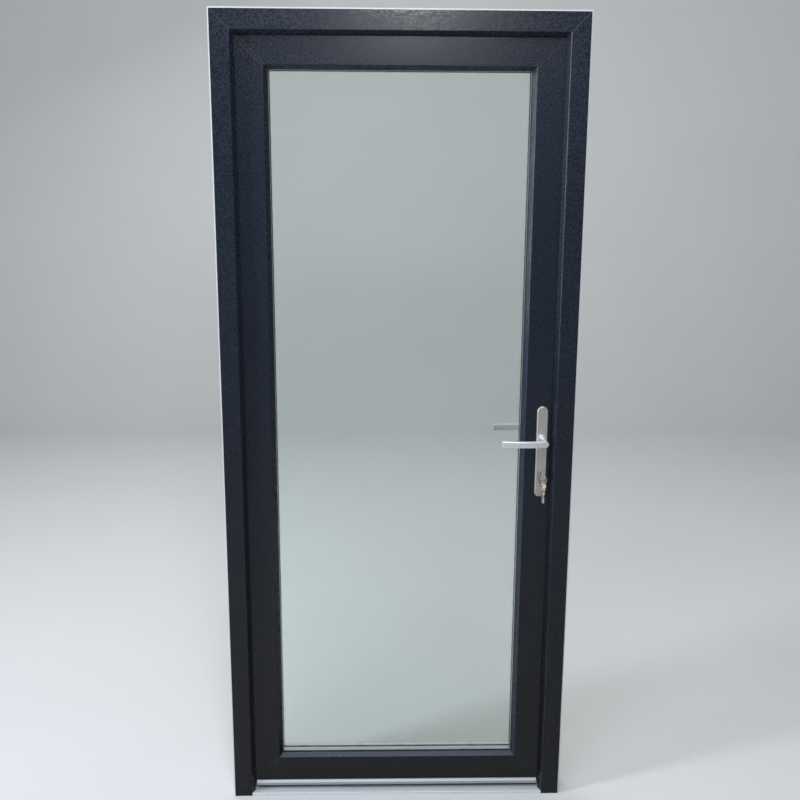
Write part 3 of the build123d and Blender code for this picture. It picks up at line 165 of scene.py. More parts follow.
# Each lamp: its name, place, the point it faces, its width and height, watts and colour.
LAMPS = (
    ("high_front", (0.10, -2.3, 2.60), (0, 0, 2.0), (0.30, 0.20), 15, PLAIN),
    ("street_sky", (-0.6, -3.2, 4.4), (0, 0, 1.7), (3.6, 1.6), 85, SKY),
    ("street_left", (-2.9, -1.2, 1.9), (0.45, 0, 1.2), (0.5, 2.2), 60, SKY),
    ("overhead", (0.0, -0.6, 4.6), (0, 0, 0), (3.0, 3.0), 60, PLAIN),
    ("room_side", (-1.2, 2.2, 4.0), (0, 0, 1.0), (2.0, 1.6), 60, PLAIN),
)
for lamp in LAMPS:
    add_lamp(*lamp)
print("lamps:", len(LAMPS))

# %% [markdown]
# ## Writing shader maths as plain sums
#
# A finish could be wired up by hand in the shader editor, one maths node after another. Here
# a wire stands for one output of a node, and adding, multiplying or comparing wires adds the
# maths node that does it, so a mask reads like the sentence that describes it.

# %% Wires
class Wire:
    """One socket of a finish, with operators that add maths nodes."""

    def __init__(self, finish, socket):
        self.finish = finish
        self.socket = socket

    def maths(self, operation, *others):
        return self.finish.node("ShaderNodeMath", {"operation": operation}, (self, *others))

    def __add__(self, other):
        return self.maths("ADD", other)

    __radd__ = __add__

    def __mul__(self, other):
        return self.maths("MULTIPLY", other)

    __rmul__ = __mul__

    def __sub__(self, other):
        return self.maths("SUBTRACT", other)

    def __rsub__(self, other):
        return (self * -1.0) + other

    def __abs__(self):
        return self.maths("ABSOLUTE")

    def __gt__(self, other):
        return self.maths("GREATER_THAN", other)

    def __lt__(self, other):
        return self.maths("LESS_THAN", other)

    def smaller(self, other):
        return self.maths("MINIMUM", other)

    def ramp(self, start, end, low=0.0, high=1.0):
        """Rise smoothly from low to high while this wire goes from start to end."""
        settings = {"interpolation_type": "SMOOTHSTEP"}
        values = {"Value": self, "From Min": start, "From Max": end, "To Min": low, "To Max": high}
        return self.finish.node("ShaderNodeMapRange", settings, values)


# %% Finishes made of wires
class Finish:
    """A material whose look is built from nodes."""

    def __init__(self, name, **constants):
        self.material = bpy.data.materials.new(name)
        self.material.use_nodes = True
        self.tree = self.material.node_tree
        self.shader = self.tree.nodes["Principled BSDF"]
        for socket, value in constants.items():
            self.shader.inputs[socket.replace("_", " ")].default_value = value
        self.place = self.node("ShaderNodeTexCoord", output="Object")
        parts = self.node("ShaderNodeSeparateXYZ", {}, (self.place,)).socket.node
        self.x, self.y, self.z = [Wire(self, parts.outputs[axis]) for axis in "XYZ"]

    def node(self, kind, settings=None, values=(), output=0):
        """Add one node, settings first, then the values or wires of its sockets."""
        made = self.tree.nodes.new(kind)
        for key, value in (settings or {}).items():
            setattr(made, key, value)
        pairs = values.items() if isinstance(values, dict) else enumerate(values)
        for key, value in pairs:
            if isinstance(value, Wire):
                self.tree.links.new(value.socket, made.inputs[key])
            else:
                made.inputs[key].default_value = value
        return Wire(self, made.outputs[output])

    def stretched(self, scale):
        """The place on the piece, stretched by one number for each axis."""
        return self.node("ShaderNodeVectorMath", {"operation": "MULTIPLY"}, (self.place, scale))

    def noise(self, scale, detail=2.0, roughness=0.5, stretch=(1, 1, 1)):
        """Soft cloudy noise from 0 to 1, with a size given by its scale per metre."""
        values = {
            "Vector": self.stretched(stretch),
            "Scale": scale,
            "Detail": detail,
            "Roughness": roughness,
        }
        return self.node("ShaderNodeTexNoise", {}, values)

    def specks(self, scale, size):
        """Small round spots scattered over the surface."""
        values = {"Vector": self.place, "Scale": scale, "Randomness": 1.0}
        return self.node("ShaderNodeTexVoronoi", {}, values, "Distance") < size

    def mix(self, mask, first, second):
        """The first colour where the mask is 0 and the second where it is 1."""
        made = self.tree.nodes.new("ShaderNodeMix")
        made.data_type = "RGBA"
        for socket, value in ((0, mask), (6, first), (7, second)):
            if isinstance(value, Wire):
                self.tree.links.new(value.socket, made.inputs[socket])
            elif socket == 0:
                made.inputs[socket].default_value = value
            else:
                made.inputs[socket].default_value = (*value, 1.0)
        return Wire(self, made.outputs[2])

    def relief(self, height, distance, strength=1.0):
        """Bump from a height from 0 to 1, with its full depth in metres."""
        values = {"Height": height, "Distance": distance, "Strength": strength}
        self.feed("Normal", self.node("ShaderNodeBump", {}, values))

    def feed(self, socket, wire):
        """Lead a wire, or set a constant, to one of the shader's sockets."""
        if isinstance(wire, Wire):
            self.tree.links.new(wire.socket, self.shader.inputs[socket])
        else:
            self.shader.inputs[socket].default_value = wire


# %% Giving a finish to solids
def dress(finish, *nodes):
    """Give solids of the model a finish."""
    for name in nodes:
        piece = bpy.data.objects[name]
        piece.data.materials.clear()
        piece.data.materials.append(finish.material)


# %% [markdown]
# ## Profiles: white plastic with a dark foil outside
#
# The frame and leaf are white through and through. A dark grey foil with a fine embossed grain
# covers the faces that look outside, and stops short of the frame's outer lip, which stays
# white. At each corner the profiles are welded, and the weld is scraped to a narrow band. The
# foil could be a second material on picked faces, but the solids are loose triangles, so one
# finish finds foil, lip, bevel and weld by their place across the profile, in metres.

# %% Profile finishes
WIDTH = 0.900
HEIGHT = 2.050
LEAF_FOOT = -0.022
LIP = 0.0041
LIP_FRONT = -0.0272
FRAME_FOIL_END = -0.0155
LEAF_FOIL_END = 0.0034
EDGE = 0.0002
FRAME_CORNER = 0.0500
LEAF_CORNER = 0.1250
LEAF_BEVEL_END = 0.1335
FRAME_WELD_HALF = 0.0016
LEAF_WELD_HALF = 0.0044
FOIL = (0.0095, 0.0140, 0.0250)
FOIL_LIGHT = (0.019, 0.025, 0.040)
# A painted shade: the darker foil colour towards the floor, strongest at the first height and gone
# at the second.
FOIL_PAINTED_SHADE = (0.0052, 0.0054, 0.0066)
PAINTED_SHADE_FULL_Z = 0.1
PAINTED_SHADE_END_Z = 1.6
DUST = (0.30, 0.29, 0.27)
SPECK = (0.36, 0.36, 0.36)
SPECK_SIZE = 0.030
# A painted highlight for the lock-side edge of the uprights.
PAINTED_EDGE_HIGHLIGHT = (0.16, 0.17, 0.19)
SKYLIT = (0.050, 0.062, 0.100)
WELD = (0.030, 0.033, 0.040)
WELD_EDGE = (0.10, 0.10, 0.105)
WELD_CORE = (0.010, 0.011, 0.013)
WHITE = (0.79, 0.80, 0.79)
WHITE_DULL = (0.75, 0.75, 0.73)

# How wide the marks on the profiles are, in metres: full strength up to the first number,
# gone at the second.
PAINTED_EDGE_HIGHLIGHT_WIDTH = (0.0007, 0.0014)
WELD_RIM_WIDTH = (0.0003, 0.0010)
WELD_LINE_WIDTH = (0.0004, 0.0010)
WELD_FADE = 0.0008
BEVEL_FADE = 0.001

# The heights between which the painted edge highlight, sky light and weld marks change.
PAINTED_EDGE_HIGHLIGHT_Z = (1.0, 1.8)
SKYLIT_Z = (0.9, 1.8)
WELD_Z = (0.2, 1.2)

# How many noise cells of each kind lie in one metre.
FIBRES = 1500
PORES = 2600
MOTTLE = 300
DUST_GRAINS = 210
SPECKS = 38
WEAR_AND_HIGHLIGHT_SPOTS = 9.0
CLOUDS = 3.0
GRAIN_LONG = 0.12

FOIL_SPECULAR = 0.30
GRAIN_DEPTH = 0.00011


# %% Foil with painted shade, painted edge highlight, bevel and weld
def foil_colour_of(finish, fibres, mottle, clouds):
    """The foil's colour: grain, slow clouds, dust and specks, and a painted shade that darkens it
    towards the floor.
    """
    dust = finish.noise(DUST_GRAINS, 4.0, 0.7).ramp(0.50, 0.80)
    colour = finish.mix(fibres.ramp(0.35, 0.7) * 0.3 + mottle * 0.4, FOIL, FOIL_LIGHT)
    colour = finish.mix(clouds.ramp(0.4, 0.7) * 0.35, colour, FOIL_LIGHT)
    colour = finish.mix(dust * 0.02, colour, DUST)
    colour = finish.mix(finish.specks(SPECKS, SPECK_SIZE) * 0.45, colour, SPECK)
    # Painted shade: the foil's colour darkens towards the floor.
    return finish.mix(finish.z.ramp(PAINTED_SHADE_FULL_Z, PAINTED_SHADE_END_Z, 0.95, 0.0), colour, FOIL_PAINTED_SHADE)


def add_painted_edge_highlight(finish, colour, side, corner, worn):
    """A painted highlight along the upright edge on the lock side, most near the top and patchy
    with the wear noise.
    """
    near = abs(side - corner).ramp(*PAINTED_EDGE_HIGHLIGHT_WIDTH, 1.0, 0.0) * (finish.x > 0) * worn
    return finish.mix(near * finish.z.ramp(*PAINTED_EDGE_HIGHLIGHT_Z, 0.15, 0.60), colour, PAINTED_EDGE_HIGHLIGHT)


def add_bevel(finish, colour, along, side, foot, corner):
    """The narrow bevel towards the glass catches more of the sky than the flat faces."""
    across = side if along == "Z" else finish.z - foot
    bevel = across.ramp(corner, corner + BEVEL_FADE) * (across < LEAF_BEVEL_END)
    if along == "Z":
        lit = bevel * (finish.x > 0) * finish.z.ramp(*SKYLIT_Z, 0.40, 0.10)
    else:
        lit = bevel * 0.75
    return finish.mix(lit, colour, SKYLIT)


def add_weld(finish, colour, weld, half, wiped, worn):
    """The scraped band of a mitre: a greyer middle, uneven pale rims and a fine dark line."""
    rim = abs(weld - half).ramp(*WELD_RIM_WIDTH, 1.0, 0.0) * worn * wiped.ramp(0.0, 0.1)
    colour = finish.mix(wiped * 0.4, colour, WELD)
    colour = finish.mix(rim * finish.z.ramp(*WELD_Z, 0.1, 0.6), colour, WELD_EDGE)
    return finish.mix(weld.ramp(*WELD_LINE_WIDTH, 0.8, 0.0), colour, WELD_CORE)


# %% The finish of a whole profile
def profile_finish(name, along, foil_end, foot, weld_half):
    """White plastic with a grained foil outside; a frame has no foot, a leaf has one."""
    finish = Finish(name, Specular_IOR_Level=FOIL_SPECULAR)
    side = WIDTH / 2 - abs(finish.x)
    top = HEIGHT - finish.z
    foil = finish.y.ramp(foil_end - EDGE, foil_end + EDGE, 1.0, 0.0)
    if foot is None:
        lip = (side.smaller(top) < LIP) * (finish.y > LIP_FRONT)
        foil = foil * (1 - lip)
        weld = abs(side - top)
    else:
        weld = abs(side - top).smaller(abs(side - (finish.z - foot)))
    corner = FRAME_CORNER if foot is None else LEAF_CORNER
    stretch = (GRAIN_LONG, 1, 1) if along == "X" else (1, 1, GRAIN_LONG)
    fibres = finish.noise(FIBRES, 3.0, 0.6, stretch)
    pores = finish.noise(PORES, 1.0, 0.5, stretch).ramp(0.55, 0.7)
    clouds = finish.noise(CLOUDS, 3.0)
    mottle = finish.noise(MOTTLE, 1.0, 0.5).ramp(0.42, 0.58)
    # Wear patches for the weld rims; they also make the painted edge highlight patchy.
    worn = finish.noise(WEAR_AND_HIGHLIGHT_SPOTS, 4.0, 0.7).ramp(0.35, 0.6, 0.45, 1.0)
    foil_colour = foil_colour_of(finish, fibres, mottle, clouds)
    # The uprights get a painted highlight along the lock-side edge.
    if along == "Z":
        foil_colour = add_painted_edge_highlight(finish, foil_colour, side, corner, worn)
    if foot is not None:
        foil_colour = add_bevel(finish, foil_colour, along, side, foot, corner)
    band = weld.ramp(weld_half, weld_half + WELD_FADE, 1.0, 0.0)
    wiped = band * finish.z.ramp(*WELD_Z, 0.3, 1.0)
    foil_colour = add_weld(finish, foil_colour, weld, weld_half, wiped, worn)
    white = finish.mix(clouds.ramp(0.3, 0.8) * 0.3, WHITE, WHITE_DULL)
    finish.feed("Base Color", finish.mix(foil, white, foil_colour))
    foil_rough = 0.17 + 0.04 * fibres + 0.18 * mottle
    white_rough = 0.26 + 0.04 * clouds
    finish.feed("Roughness", foil * foil_rough + (1 - foil) * white_rough)
    grain = (fibres * 0.25 + (1 - pores) * 0.15 + mottle * 0.6) * foil * (1 - wiped)
    finish.relief(grain, GRAIN_DEPTH, 0.7)
    return finish


frame_upright = profile_finish("frame_foil_upright", "Z", FRAME_FOIL_END, None, FRAME_WELD_HALF)
frame_level = profile_finish("frame_foil_level", "X", FRAME_FOIL_END, None, FRAME_WELD_HALF)
leaf_upright = profile_finish("leaf_foil_upright", "Z", LEAF_FOIL_END, LEAF_FOOT, LEAF_WELD_HALF)
leaf_level = profile_finish("leaf_foil_level", "X", LEAF_FOIL_END, LEAF_FOOT, LEAF_WELD_HALF)
dress(frame_upright, "jamb_hinge_side", "jamb_lock_side")
dress(frame_level, "head")
dress(leaf_upright, "stile_hinge_side", "stile_lock_side")
dress(leaf_level, "top_rail", "bottom_rail")

# %% [markdown]
# ## Glass, rubber and white trim
#
# Clear float glass has a faint green cast and a few greasy smears. The gaskets are black
# rubber with a slight bloom. The beads on the room side are the same white plastic as the
# profiles, with a soft black lip moulded on, which the finish finds by its place. Plain
# colours would do for these small pieces, but a little uneven roughness makes them real.

# %% Glass, gaskets, beads and inner pieces
GLASS_IOR = 1.5
GLASS = (0.93, 0.97, 0.955)
GLASS_SMEARED = (0.90, 0.94, 0.93)
RUBBER = (0.012, 0.012, 0.014)
RUBBER_BLOOM = (0.035, 0.035, 0.037)
SEALANT = (0.01, 0.01, 0.01)
SEALANT_LUMP = (0.02, 0.02, 0.022)
BEAD_DULL = (0.71, 0.71, 0.68)
BEAD_LIP = (0.02, 0.02, 0.022)
BEAD_LIP_END_Y = 0.0331
BASE_PLASTIC = (0.055, 0.056, 0.06)
BASE_SCUFFED = (0.13, 0.13, 0.13)
BLOCK_BLUE = (0.03, 0.09, 0.30)
BLOCK_PALE = (0.04, 0.12, 0.36)

# How many noise cells of each kind lie in one metre.
SMEARS = 2.2
BLOOM = 60
RUBBER_GRAIN = 900
LUMPS = 150
FILM = 25
PLASTIC_GRAIN = 1200
SCUFFS = 45
FLOW = 80

glass = Finish("float_glass", IOR=GLASS_IOR, Transmission_Weight=1.0)
smear = glass.noise(SMEARS, 4.0, 0.6, (1, 1, 0.4)).ramp(0.5, 0.8)
glass.feed("Base Color", glass.mix(smear * 0.4, GLASS, GLASS_SMEARED))
glass.feed("Roughness", smear * 0.02)
dress(glass, "pane_outside", "pane_inside")

rubber = Finish("gasket_rubber")
bloom = rubber.noise(BLOOM, 4.0, 0.6)
rubber.feed("Base Color", rubber.mix(bloom.ramp(0.45, 0.75), RUBBER, RUBBER_BLOOM))
rubber.feed("Roughness", 0.45 + 0.2 * bloom)
rubber.relief(rubber.noise(RUBBER_GRAIN, 2.0), 0.00004)
dress(rubber, "frame_gasket", "leaf_gasket", "glazing_gasket")

sealant = Finish("edge_sealant")
lumps = sealant.noise(LUMPS, 3.0)
sealant.feed("Base Color", sealant.mix(lumps, SEALANT, SEALANT_LUMP))
sealant.feed("Roughness", 0.6 + 0.2 * lumps)
sealant.relief(lumps, 0.0004)
dress(sealant, "edge_seal")

bead_white = Finish("bead_plastic")
lip = (bead_white.y < BEAD_LIP_END_Y) * (bead_white.y > 0.0)
film = bead_white.noise(FILM, 4.0)
bead_colour = bead_white.mix(film.ramp(0.4, 0.75) * 0.5, WHITE, BEAD_DULL)
bead_white.feed("Base Color", bead_white.mix(lip, bead_colour, BEAD_LIP))
bead_white.feed("Roughness", 0.22 + 0.12 * film)
bead_white.relief(bead_white.noise(PLASTIC_GRAIN, 2.0), 0.00003)
dress(bead_white, "bead_hinge_side", "bead_lock_side", "bead_top", "bead_bottom")

base_plastic = Finish("threshold_base_plastic")
scuffs = base_plastic.noise(SCUFFS, 5.0, 0.7)
base_plastic.feed("Base Color", base_plastic.mix(scuffs.ramp(0.5, 0.8), BASE_PLASTIC, BASE_SCUFFED))
base_plastic.feed("Roughness", 0.5 + 0.2 * scuffs)
base_plastic.relief(scuffs, 0.0001)
dress(base_plastic, "threshold_base")

block_plastic = Finish("block_plastic")
flow = block_plastic.noise(FLOW, 3.0)
block_plastic.feed("Base Color", block_plastic.mix(flow, BLOCK_BLUE, BLOCK_PALE))
block_plastic.feed("Roughness", 0.4 + 0.1 * flow)
dress(block_plastic, "setting_blocks")

# %% [markdown]
# ## Metals
#
# Drawn aluminium carries fine lines along its length, so its noise is stretched along X, and a
# brushed plate has them along Z. The threshold has dull marks and dirt, the handles are satin
# all over, and the lock parts are bright zinc. Marks could be painted by hand, but noise gives
# them without an image and at any size. One function makes every metal from a few numbers. The
# hinges are powder coated, which shows as a fine orange peel, and the floor is plain and dull.

# %% Metal finishes
DIRT = (0.10, 0.095, 0.085)
ALONG_X = (0.02, 1, 1)
ALONG_Z = (1, 1, 0.03)
EVEN = (1, 1, 1)
LINES = 900
METAL_CLOUDS = 14
MARKS = 70


def drawn_metal(name, colour, worn, roughness, stretch, depth, dirt=0.0, metallic=1.0):
    """A metal with fine lines or grain, slightly cloudy, with dirt where it is asked for."""
    finish = Finish(name, Metallic=metallic)
    lines = finish.noise(LINES, 2.0, 0.6, stretch)
    clouds = finish.noise(METAL_CLOUDS, 4.0, 0.6)
    marks = finish.noise(MARKS, 6.0, 0.75).ramp(0.56, 0.74)
    tone = finish.mix(lines.ramp(0.3, 0.7) * 0.5 + clouds * 0.3, colour, worn)
    finish.feed("Base Color", finish.mix(marks * dirt, tone, DIRT))
    finish.feed("Roughness", roughness + 0.10 * lines + 0.08 * clouds + 0.3 * dirt * marks)
    finish.relief(lines, depth, 0.6)
    return finish


# %% Metals of the threshold, glazing and handles
sill = drawn_metal(
    "sill_aluminium",
    colour=(0.70, 0.75, 0.79),
    worn=(0.80, 0.83, 0.85),
    roughness=0.42,
    stretch=ALONG_X,
    depth=0.00005,
    dirt=0.35,
    metallic=0.35,
)
drip = drawn_metal(
    "drip_bar_aluminium",
    colour=(0.40, 0.42, 0.44),
    worn=(0.48, 0.49, 0.50),
    roughness=0.44,
    stretch=ALONG_X,
    depth=0.00004,
    dirt=0.25,
    metallic=0.7,
)
spacer = drawn_metal(
    "spacer_aluminium",
    colour=(0.72, 0.73, 0.74),
    worn=(0.80, 0.80, 0.80),
    roughness=0.24,
    stretch=EVEN,
    depth=0.00003,
)
plate_metal = drawn_metal(
    "handle_plate_satin",
    colour=(0.60, 0.58, 0.53),
    worn=(0.68, 0.65, 0.60),
    roughness=0.36,
    stretch=ALONG_Z,
    depth=0.00004,
)
lever_metal = drawn_metal(
    "lever_satin",
    colour=(0.80, 0.81, 0.82),
    worn=(0.86, 0.87, 0.88),
    roughness=0.32,
    stretch=ALONG_X,
    depth=0.00003,
    metallic=0.75,
)

# %% Metals of the lock, keys and fittings
nickel = drawn_metal(
    "nickel",
    colour=(0.60, 0.57, 0.52),
    worn=(0.68, 0.65, 0.60),
    roughness=0.18,
    stretch=EVEN,
    depth=0.00002,
    dirt=0.2,
)
key_metal = drawn_metal(
    "key_nickel_silver",
    colour=(0.36, 0.32, 0.27),
    worn=(0.47, 0.43, 0.37),
    roughness=0.30,
    stretch=EVEN,
    depth=0.00004,
    dirt=0.4,
)
zinc = drawn_metal(
    "zinc_plate",
    colour=(0.55, 0.56, 0.57),
    worn=(0.64, 0.64, 0.62),
    roughness=0.30,
    stretch=ALONG_Z,
    depth=0.00005,
    dirt=0.15,
)

# %% Dress the metal solids
dress(sill, "threshold")
dress(drip, "drip_bar")
dress(spacer, "spacer")
dress(plate_metal, "handle_plate_outside", "handle_plate_inside")
dress(lever_metal, "lever_outside", "lever_inside")
dress(nickel, "cylinder_body", "plug_and_cam", "key", "key_ring")
dress(key_metal, "spare_key")
steel_words = ("steel", "screw", "keep")
steel_nodes = [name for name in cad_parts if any(word in name for word in steel_words)]
lock_nodes = ["faceplate", "lock_case", "side_lock_cases", "drive_rods", "spindle"]
lock_nodes += ["latch_bolt", "deadbolt", "side_bolts"]
dress(zinc, *steel_nodes, *lock_nodes)
print("zinc plated solids:", len(steel_nodes) + len(lock_nodes))

# %% Powder coat and floor
POWDER = (0.78, 0.79, 0.78)
POWDER_DULL = (0.72, 0.72, 0.70)
FLOOR = (0.66, 0.66, 0.65)
FLOOR_PALE = (0.70, 0.70, 0.69)
FLOOR_ROUGHNESS = 0.75
ORANGE_PEEL = 700
POWDER_CLOUDS = 20
FLOOR_CLOUDS = 2.0

powder = Finish("hinge_powder_coat")
orange_peel = powder.noise(ORANGE_PEEL, 2.0)
powder_clouds = powder.noise(POWDER_CLOUDS, 3.0)
powder.feed("Base Color", powder.mix(powder_clouds, POWDER, POWDER_DULL))
powder.feed("Roughness", 0.32 + 0.1 * orange_peel)
powder.relief(orange_peel, 0.00008, 0.5)
dress(powder, *[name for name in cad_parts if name.startswith("hinge_")])

floor_finish = Finish("pale_floor")
floor_colour = floor_finish.mix(floor_finish.noise(FLOOR_CLOUDS, 3.0), FLOOR, FLOOR_PALE)
floor_finish.feed("Base Color", floor_colour)
floor_finish.feed("Roughness", FLOOR_ROUGHNESS)
floor.data.materials.append(floor_finish.material)

# %% [markdown]
# ## Helpers for modelling by hand
#
# A new piece starts as a primitive at its own place, as it would by hand. In a script nothing
# can be clicked, so its faces or edges are picked by where they are, and each edit says in
# words what it touches. Holes and unions use an exact boolean, because the pieces are small
# closed solids and it keeps their edges sharp for the bevel that follows.

# %% Modelling helpers
SAME = 1e-5


def start_piece(name, add, **settings):
    """Add one primitive with nothing else selected, with its place in its mesh."""
    bpy.ops.object.select_all(action="DESELECT")
    add(**settings)
    piece = bpy.context.object
    piece.name = name
    bpy.ops.object.transform_apply(location=True, rotation=True, scale=True)
    return piece


def edit(piece, pick, kind, action, **settings):
    """In edit mode, pick faces or edges by a rule and apply one operator to them."""
    bpy.ops.object.select_all(action="DESELECT")
    bpy.context.view_layer.objects.active = piece
    piece.select_set(True)
    bpy.ops.object.mode_set(mode="EDIT")
    bpy.ops.mesh.select_mode(type=kind)
    mesh = bmesh.from_edit_mesh(piece.data)
    bpy.ops.mesh.select_all(action="DESELECT")
    for part in mesh.faces if kind == "FACE" else mesh.edges:
        if pick(part):
            part.select_set(True)
    bmesh.update_edit_mesh(piece.data)
    action(**settings)
    bpy.ops.object.mode_set(mode="OBJECT")


def cut(piece, tool, operation="DIFFERENCE"):
    """Cut one piece with another, or weld them together, and remove the tool."""
    bpy.context.view_layer.objects.active = piece
    boolean = piece.modifiers.new("cut", "BOOLEAN")
    boolean.operation = operation
    boolean.solver = "EXACT"
    boolean.object = tool
    bpy.ops.object.modifier_apply(modifier="cut")
    bpy.data.objects.remove(tool, do_unlink=True)


def smooth(piece, angle):
    """Shade smoothly across every edge that turns by less than an angle in degrees."""
    bpy.ops.object.select_all(action="DESELECT")
    bpy.context.view_layer.objects.active = piece
    piece.select_set(True)
    bpy.ops.object.shade_smooth_by_angle(angle=math.radians(angle))


def soften(piece, width, segments=2, angle=35):
    """Round every edge that turns by more than an angle, then shade smoothly."""
    bpy.ops.object.select_all(action="DESELECT")
    bpy.context.view_layer.objects.active = piece
    piece.select_set(True)
    bevel = piece.modifiers.new("soften", "BEVEL")
    bevel.width = width
    bevel.segments = segments
    bevel.limit_method = "ANGLE"
    bevel.angle_limit = math.radians(angle)
    bpy.ops.object.modifier_apply(modifier="soften")
    smooth(piece, angle)


def join(name, pieces):
    """Make several pieces one, which keeps the first piece's origin, the model's own."""
    bpy.ops.object.select_all(action="DESELECT")
    for piece in pieces:
        piece.select_set(True)
    bpy.context.view_layer.objects.active = pieces[0]
    bpy.ops.object.join()
    pieces[0].name = name
    return pieces[0]


def hand_over(piece, body, slot, finish, *replaced):
    """Dress a new piece, let it ride on a body, and let it stand for the solids it replaces."""
    piece.data.materials.clear()
    piece.data.materials.append(finish.material)
    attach(piece, body)
    if replaced:
        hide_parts(*replaced)
    print(piece.name, "has", len(piece.data.polygons), "faces")


# %% [markdown]
# ## Collars round the lever necks
#
# Each lever turns in a thin collar on its plate. A torus would look too round, so a short
# cylinder is drilled through with a second one and its rims are rounded, as on a turned part.

# %% Neck collars
LOCK_X = 0.368
SPINDLE_Z = 1.013
CYLINDER_Z = 0.921
PLATE_OUT_Y = -0.022
PLATE_IN_Y = 0.066
COLLAR_R = 0.0128
COLLAR_HOLE_R = 0.0092
COLLAR_THICK = 0.0030
COLLAR_ROUNDING = 0.0010
LYING_ALONG_Y = (math.radians(90), 0, 0)


def round_bar(name, radius, depth, place, sides, way=(0, 0, 0)):
    """A plain round bar or disc, upright unless it is turned: the start of a turned part."""
    return start_piece(
        name,
        bpy.ops.mesh.primitive_cylinder_add,
        vertices=sides,
        radius=radius,
        depth=depth,
        location=place,
        rotation=way,
    )


def neck_collar(name, face_y, outwards):
    """A thin ring with a rounded rim that lies on a handle plate round the lever's neck."""
    middle = (LOCK_X, face_y + outwards * COLLAR_THICK / 2, SPINDLE_Z)
    shape = {"sides": 64, "way": LYING_ALONG_Y}
    collar = round_bar(name, COLLAR_R, COLLAR_THICK, middle, **shape)
    hole = round_bar("hole", COLLAR_HOLE_R, 3 * COLLAR_THICK, middle, **shape)
    cut(collar, hole)
    soften(collar, COLLAR_ROUNDING, segments=3)
    hand_over(collar, "leaf", "lever_aluminium", lever_metal)


neck_collar("neck_collar_outside", PLATE_OUT_Y, -1)
neck_collar("neck_collar_inside", PLATE_IN_Y, 1)

# %% [markdown]
# ## Screws with a cross recess
#
# The solid screws are plain pins with a plain head. One screw is modelled with a domed head
# and a cross recess, and is then copied to every place where a solid screw sits. The copies
# have their own meshes and are joined, so that each set of screws is one piece on one body.

# %% One screw
HEAD_R = 0.0038
HEAD_SINK = 0.0002
HEAD_ROUNDING = 0.6
RECESS_WIDTH = 0.0009
RECESS_LENGTH = 0.0040
RECESS_DEPTH = 0.0014


def screw_at_origin(length, shank_r, head_r, rise):
    """A pan-head screw along -Z, its head's underside at the origin."""
    shank = round_bar("screw", shank_r, length, (0, 0, -length / 2), sides=24)
    head_middle = (0, 0, (rise - HEAD_SINK) / 2)
    head = round_bar("head", head_r, rise + HEAD_SINK, head_middle, sides=36)
    edit(
        head,
        lambda edge: all(vertex.co.z > rise - SAME for vertex in edge.verts),
        "EDGE",
        bpy.ops.mesh.bevel,
        offset=rise * HEAD_ROUNDING,
        segments=5,
    )
    scale = head_r / HEAD_R
    for turn in (0, 90):
        slot = start_piece(
            "slot",
            bpy.ops.mesh.primitive_cube_add,
            size=1,
            location=(0, 0, rise),
            rotation=(0, 0, math.radians(turn)),
            scale=(RECESS_LENGTH * scale, RECESS_WIDTH * scale, 2 * RECESS_DEPTH * scale),
        )
        cut(head, slot)
    cut(head, shank, "UNION")
    smooth(head, angle=30)
    return head


# %% Copies at every screw's place
TURN_EACH = 0.35


def copies(model, places):
    """Copies of a model, each moved and turned so that its -Z points along the way given."""
    made = []
    for index, (place, way) in enumerate(places):
        copy = model.copy()
        copy.data = model.data.copy()
        bpy.context.collection.objects.link(copy)
        turn = (-Vector(way)).to_track_quat("Z", "Y").to_matrix().to_4x4()
        spin = Matrix.Rotation(TURN_EACH * index, 4, "Z")
        copy.data.transform(Matrix.Translation(place) @ turn @ spin)
        made.append(copy)
    bpy.data.objects.remove(model, do_unlink=True)
    return made


# %% Screws of the frame
TOWARDS_STREET = (0, -1, 0)
TOWARDS_JAMB = (1, 0, 0)
HINGE_X = -0.437
HINGE_Z = (0.230, 1.025, 1.820)
FRAME_PLATE_Y = 0.039
FRAME_SCREW_STEPS = (-0.054, -0.008, 0.008, 0.054)
GROOVE_Y = 0.025
KEEP_X = 0.412
KEEP_SCREW_Z = (0.325, 0.375, 1.675, 1.725, 0.937, 1.068)
SHANK_R = 0.00195
HEAD_RISE = 0.0021
FRAME_SCREW_LENGTH = 0.024

frame_places = [
    ((HINGE_X, FRAME_PLATE_Y, z + step), TOWARDS_STREET)
    for z in HINGE_Z
    for step in FRAME_SCREW_STEPS
]
frame_places += [((KEEP_X, GROOVE_Y, z), TOWARDS_JAMB) for z in KEEP_SCREW_Z]
frame_screw = screw_at_origin(FRAME_SCREW_LENGTH, SHANK_R, HEAD_R, HEAD_RISE)
frame_set = join("frame_screws_cross_head", copies(frame_screw, frame_places))
hand_over(frame_set, "frame", "zinc_steel", zinc, "frame_screws")

# %% Screws of the leaf and of the handle plates
LEAF_PLATE_Y = 0.061
LEAF_SCREW_X = (-0.398, -0.388)
LEAF_SCREW_STEPS = (-0.034, 0.034)
LEAF_SCREW_LENGTH = 0.0245
PLATE_SCREW_Z = (1.081, 0.879)
PLATE_SCREW_LENGTH = 0.0845
PLATE_SHANK_R = 0.00245
PLATE_HEAD_R = 0.005
PLATE_HEAD_RISE = 0.0023

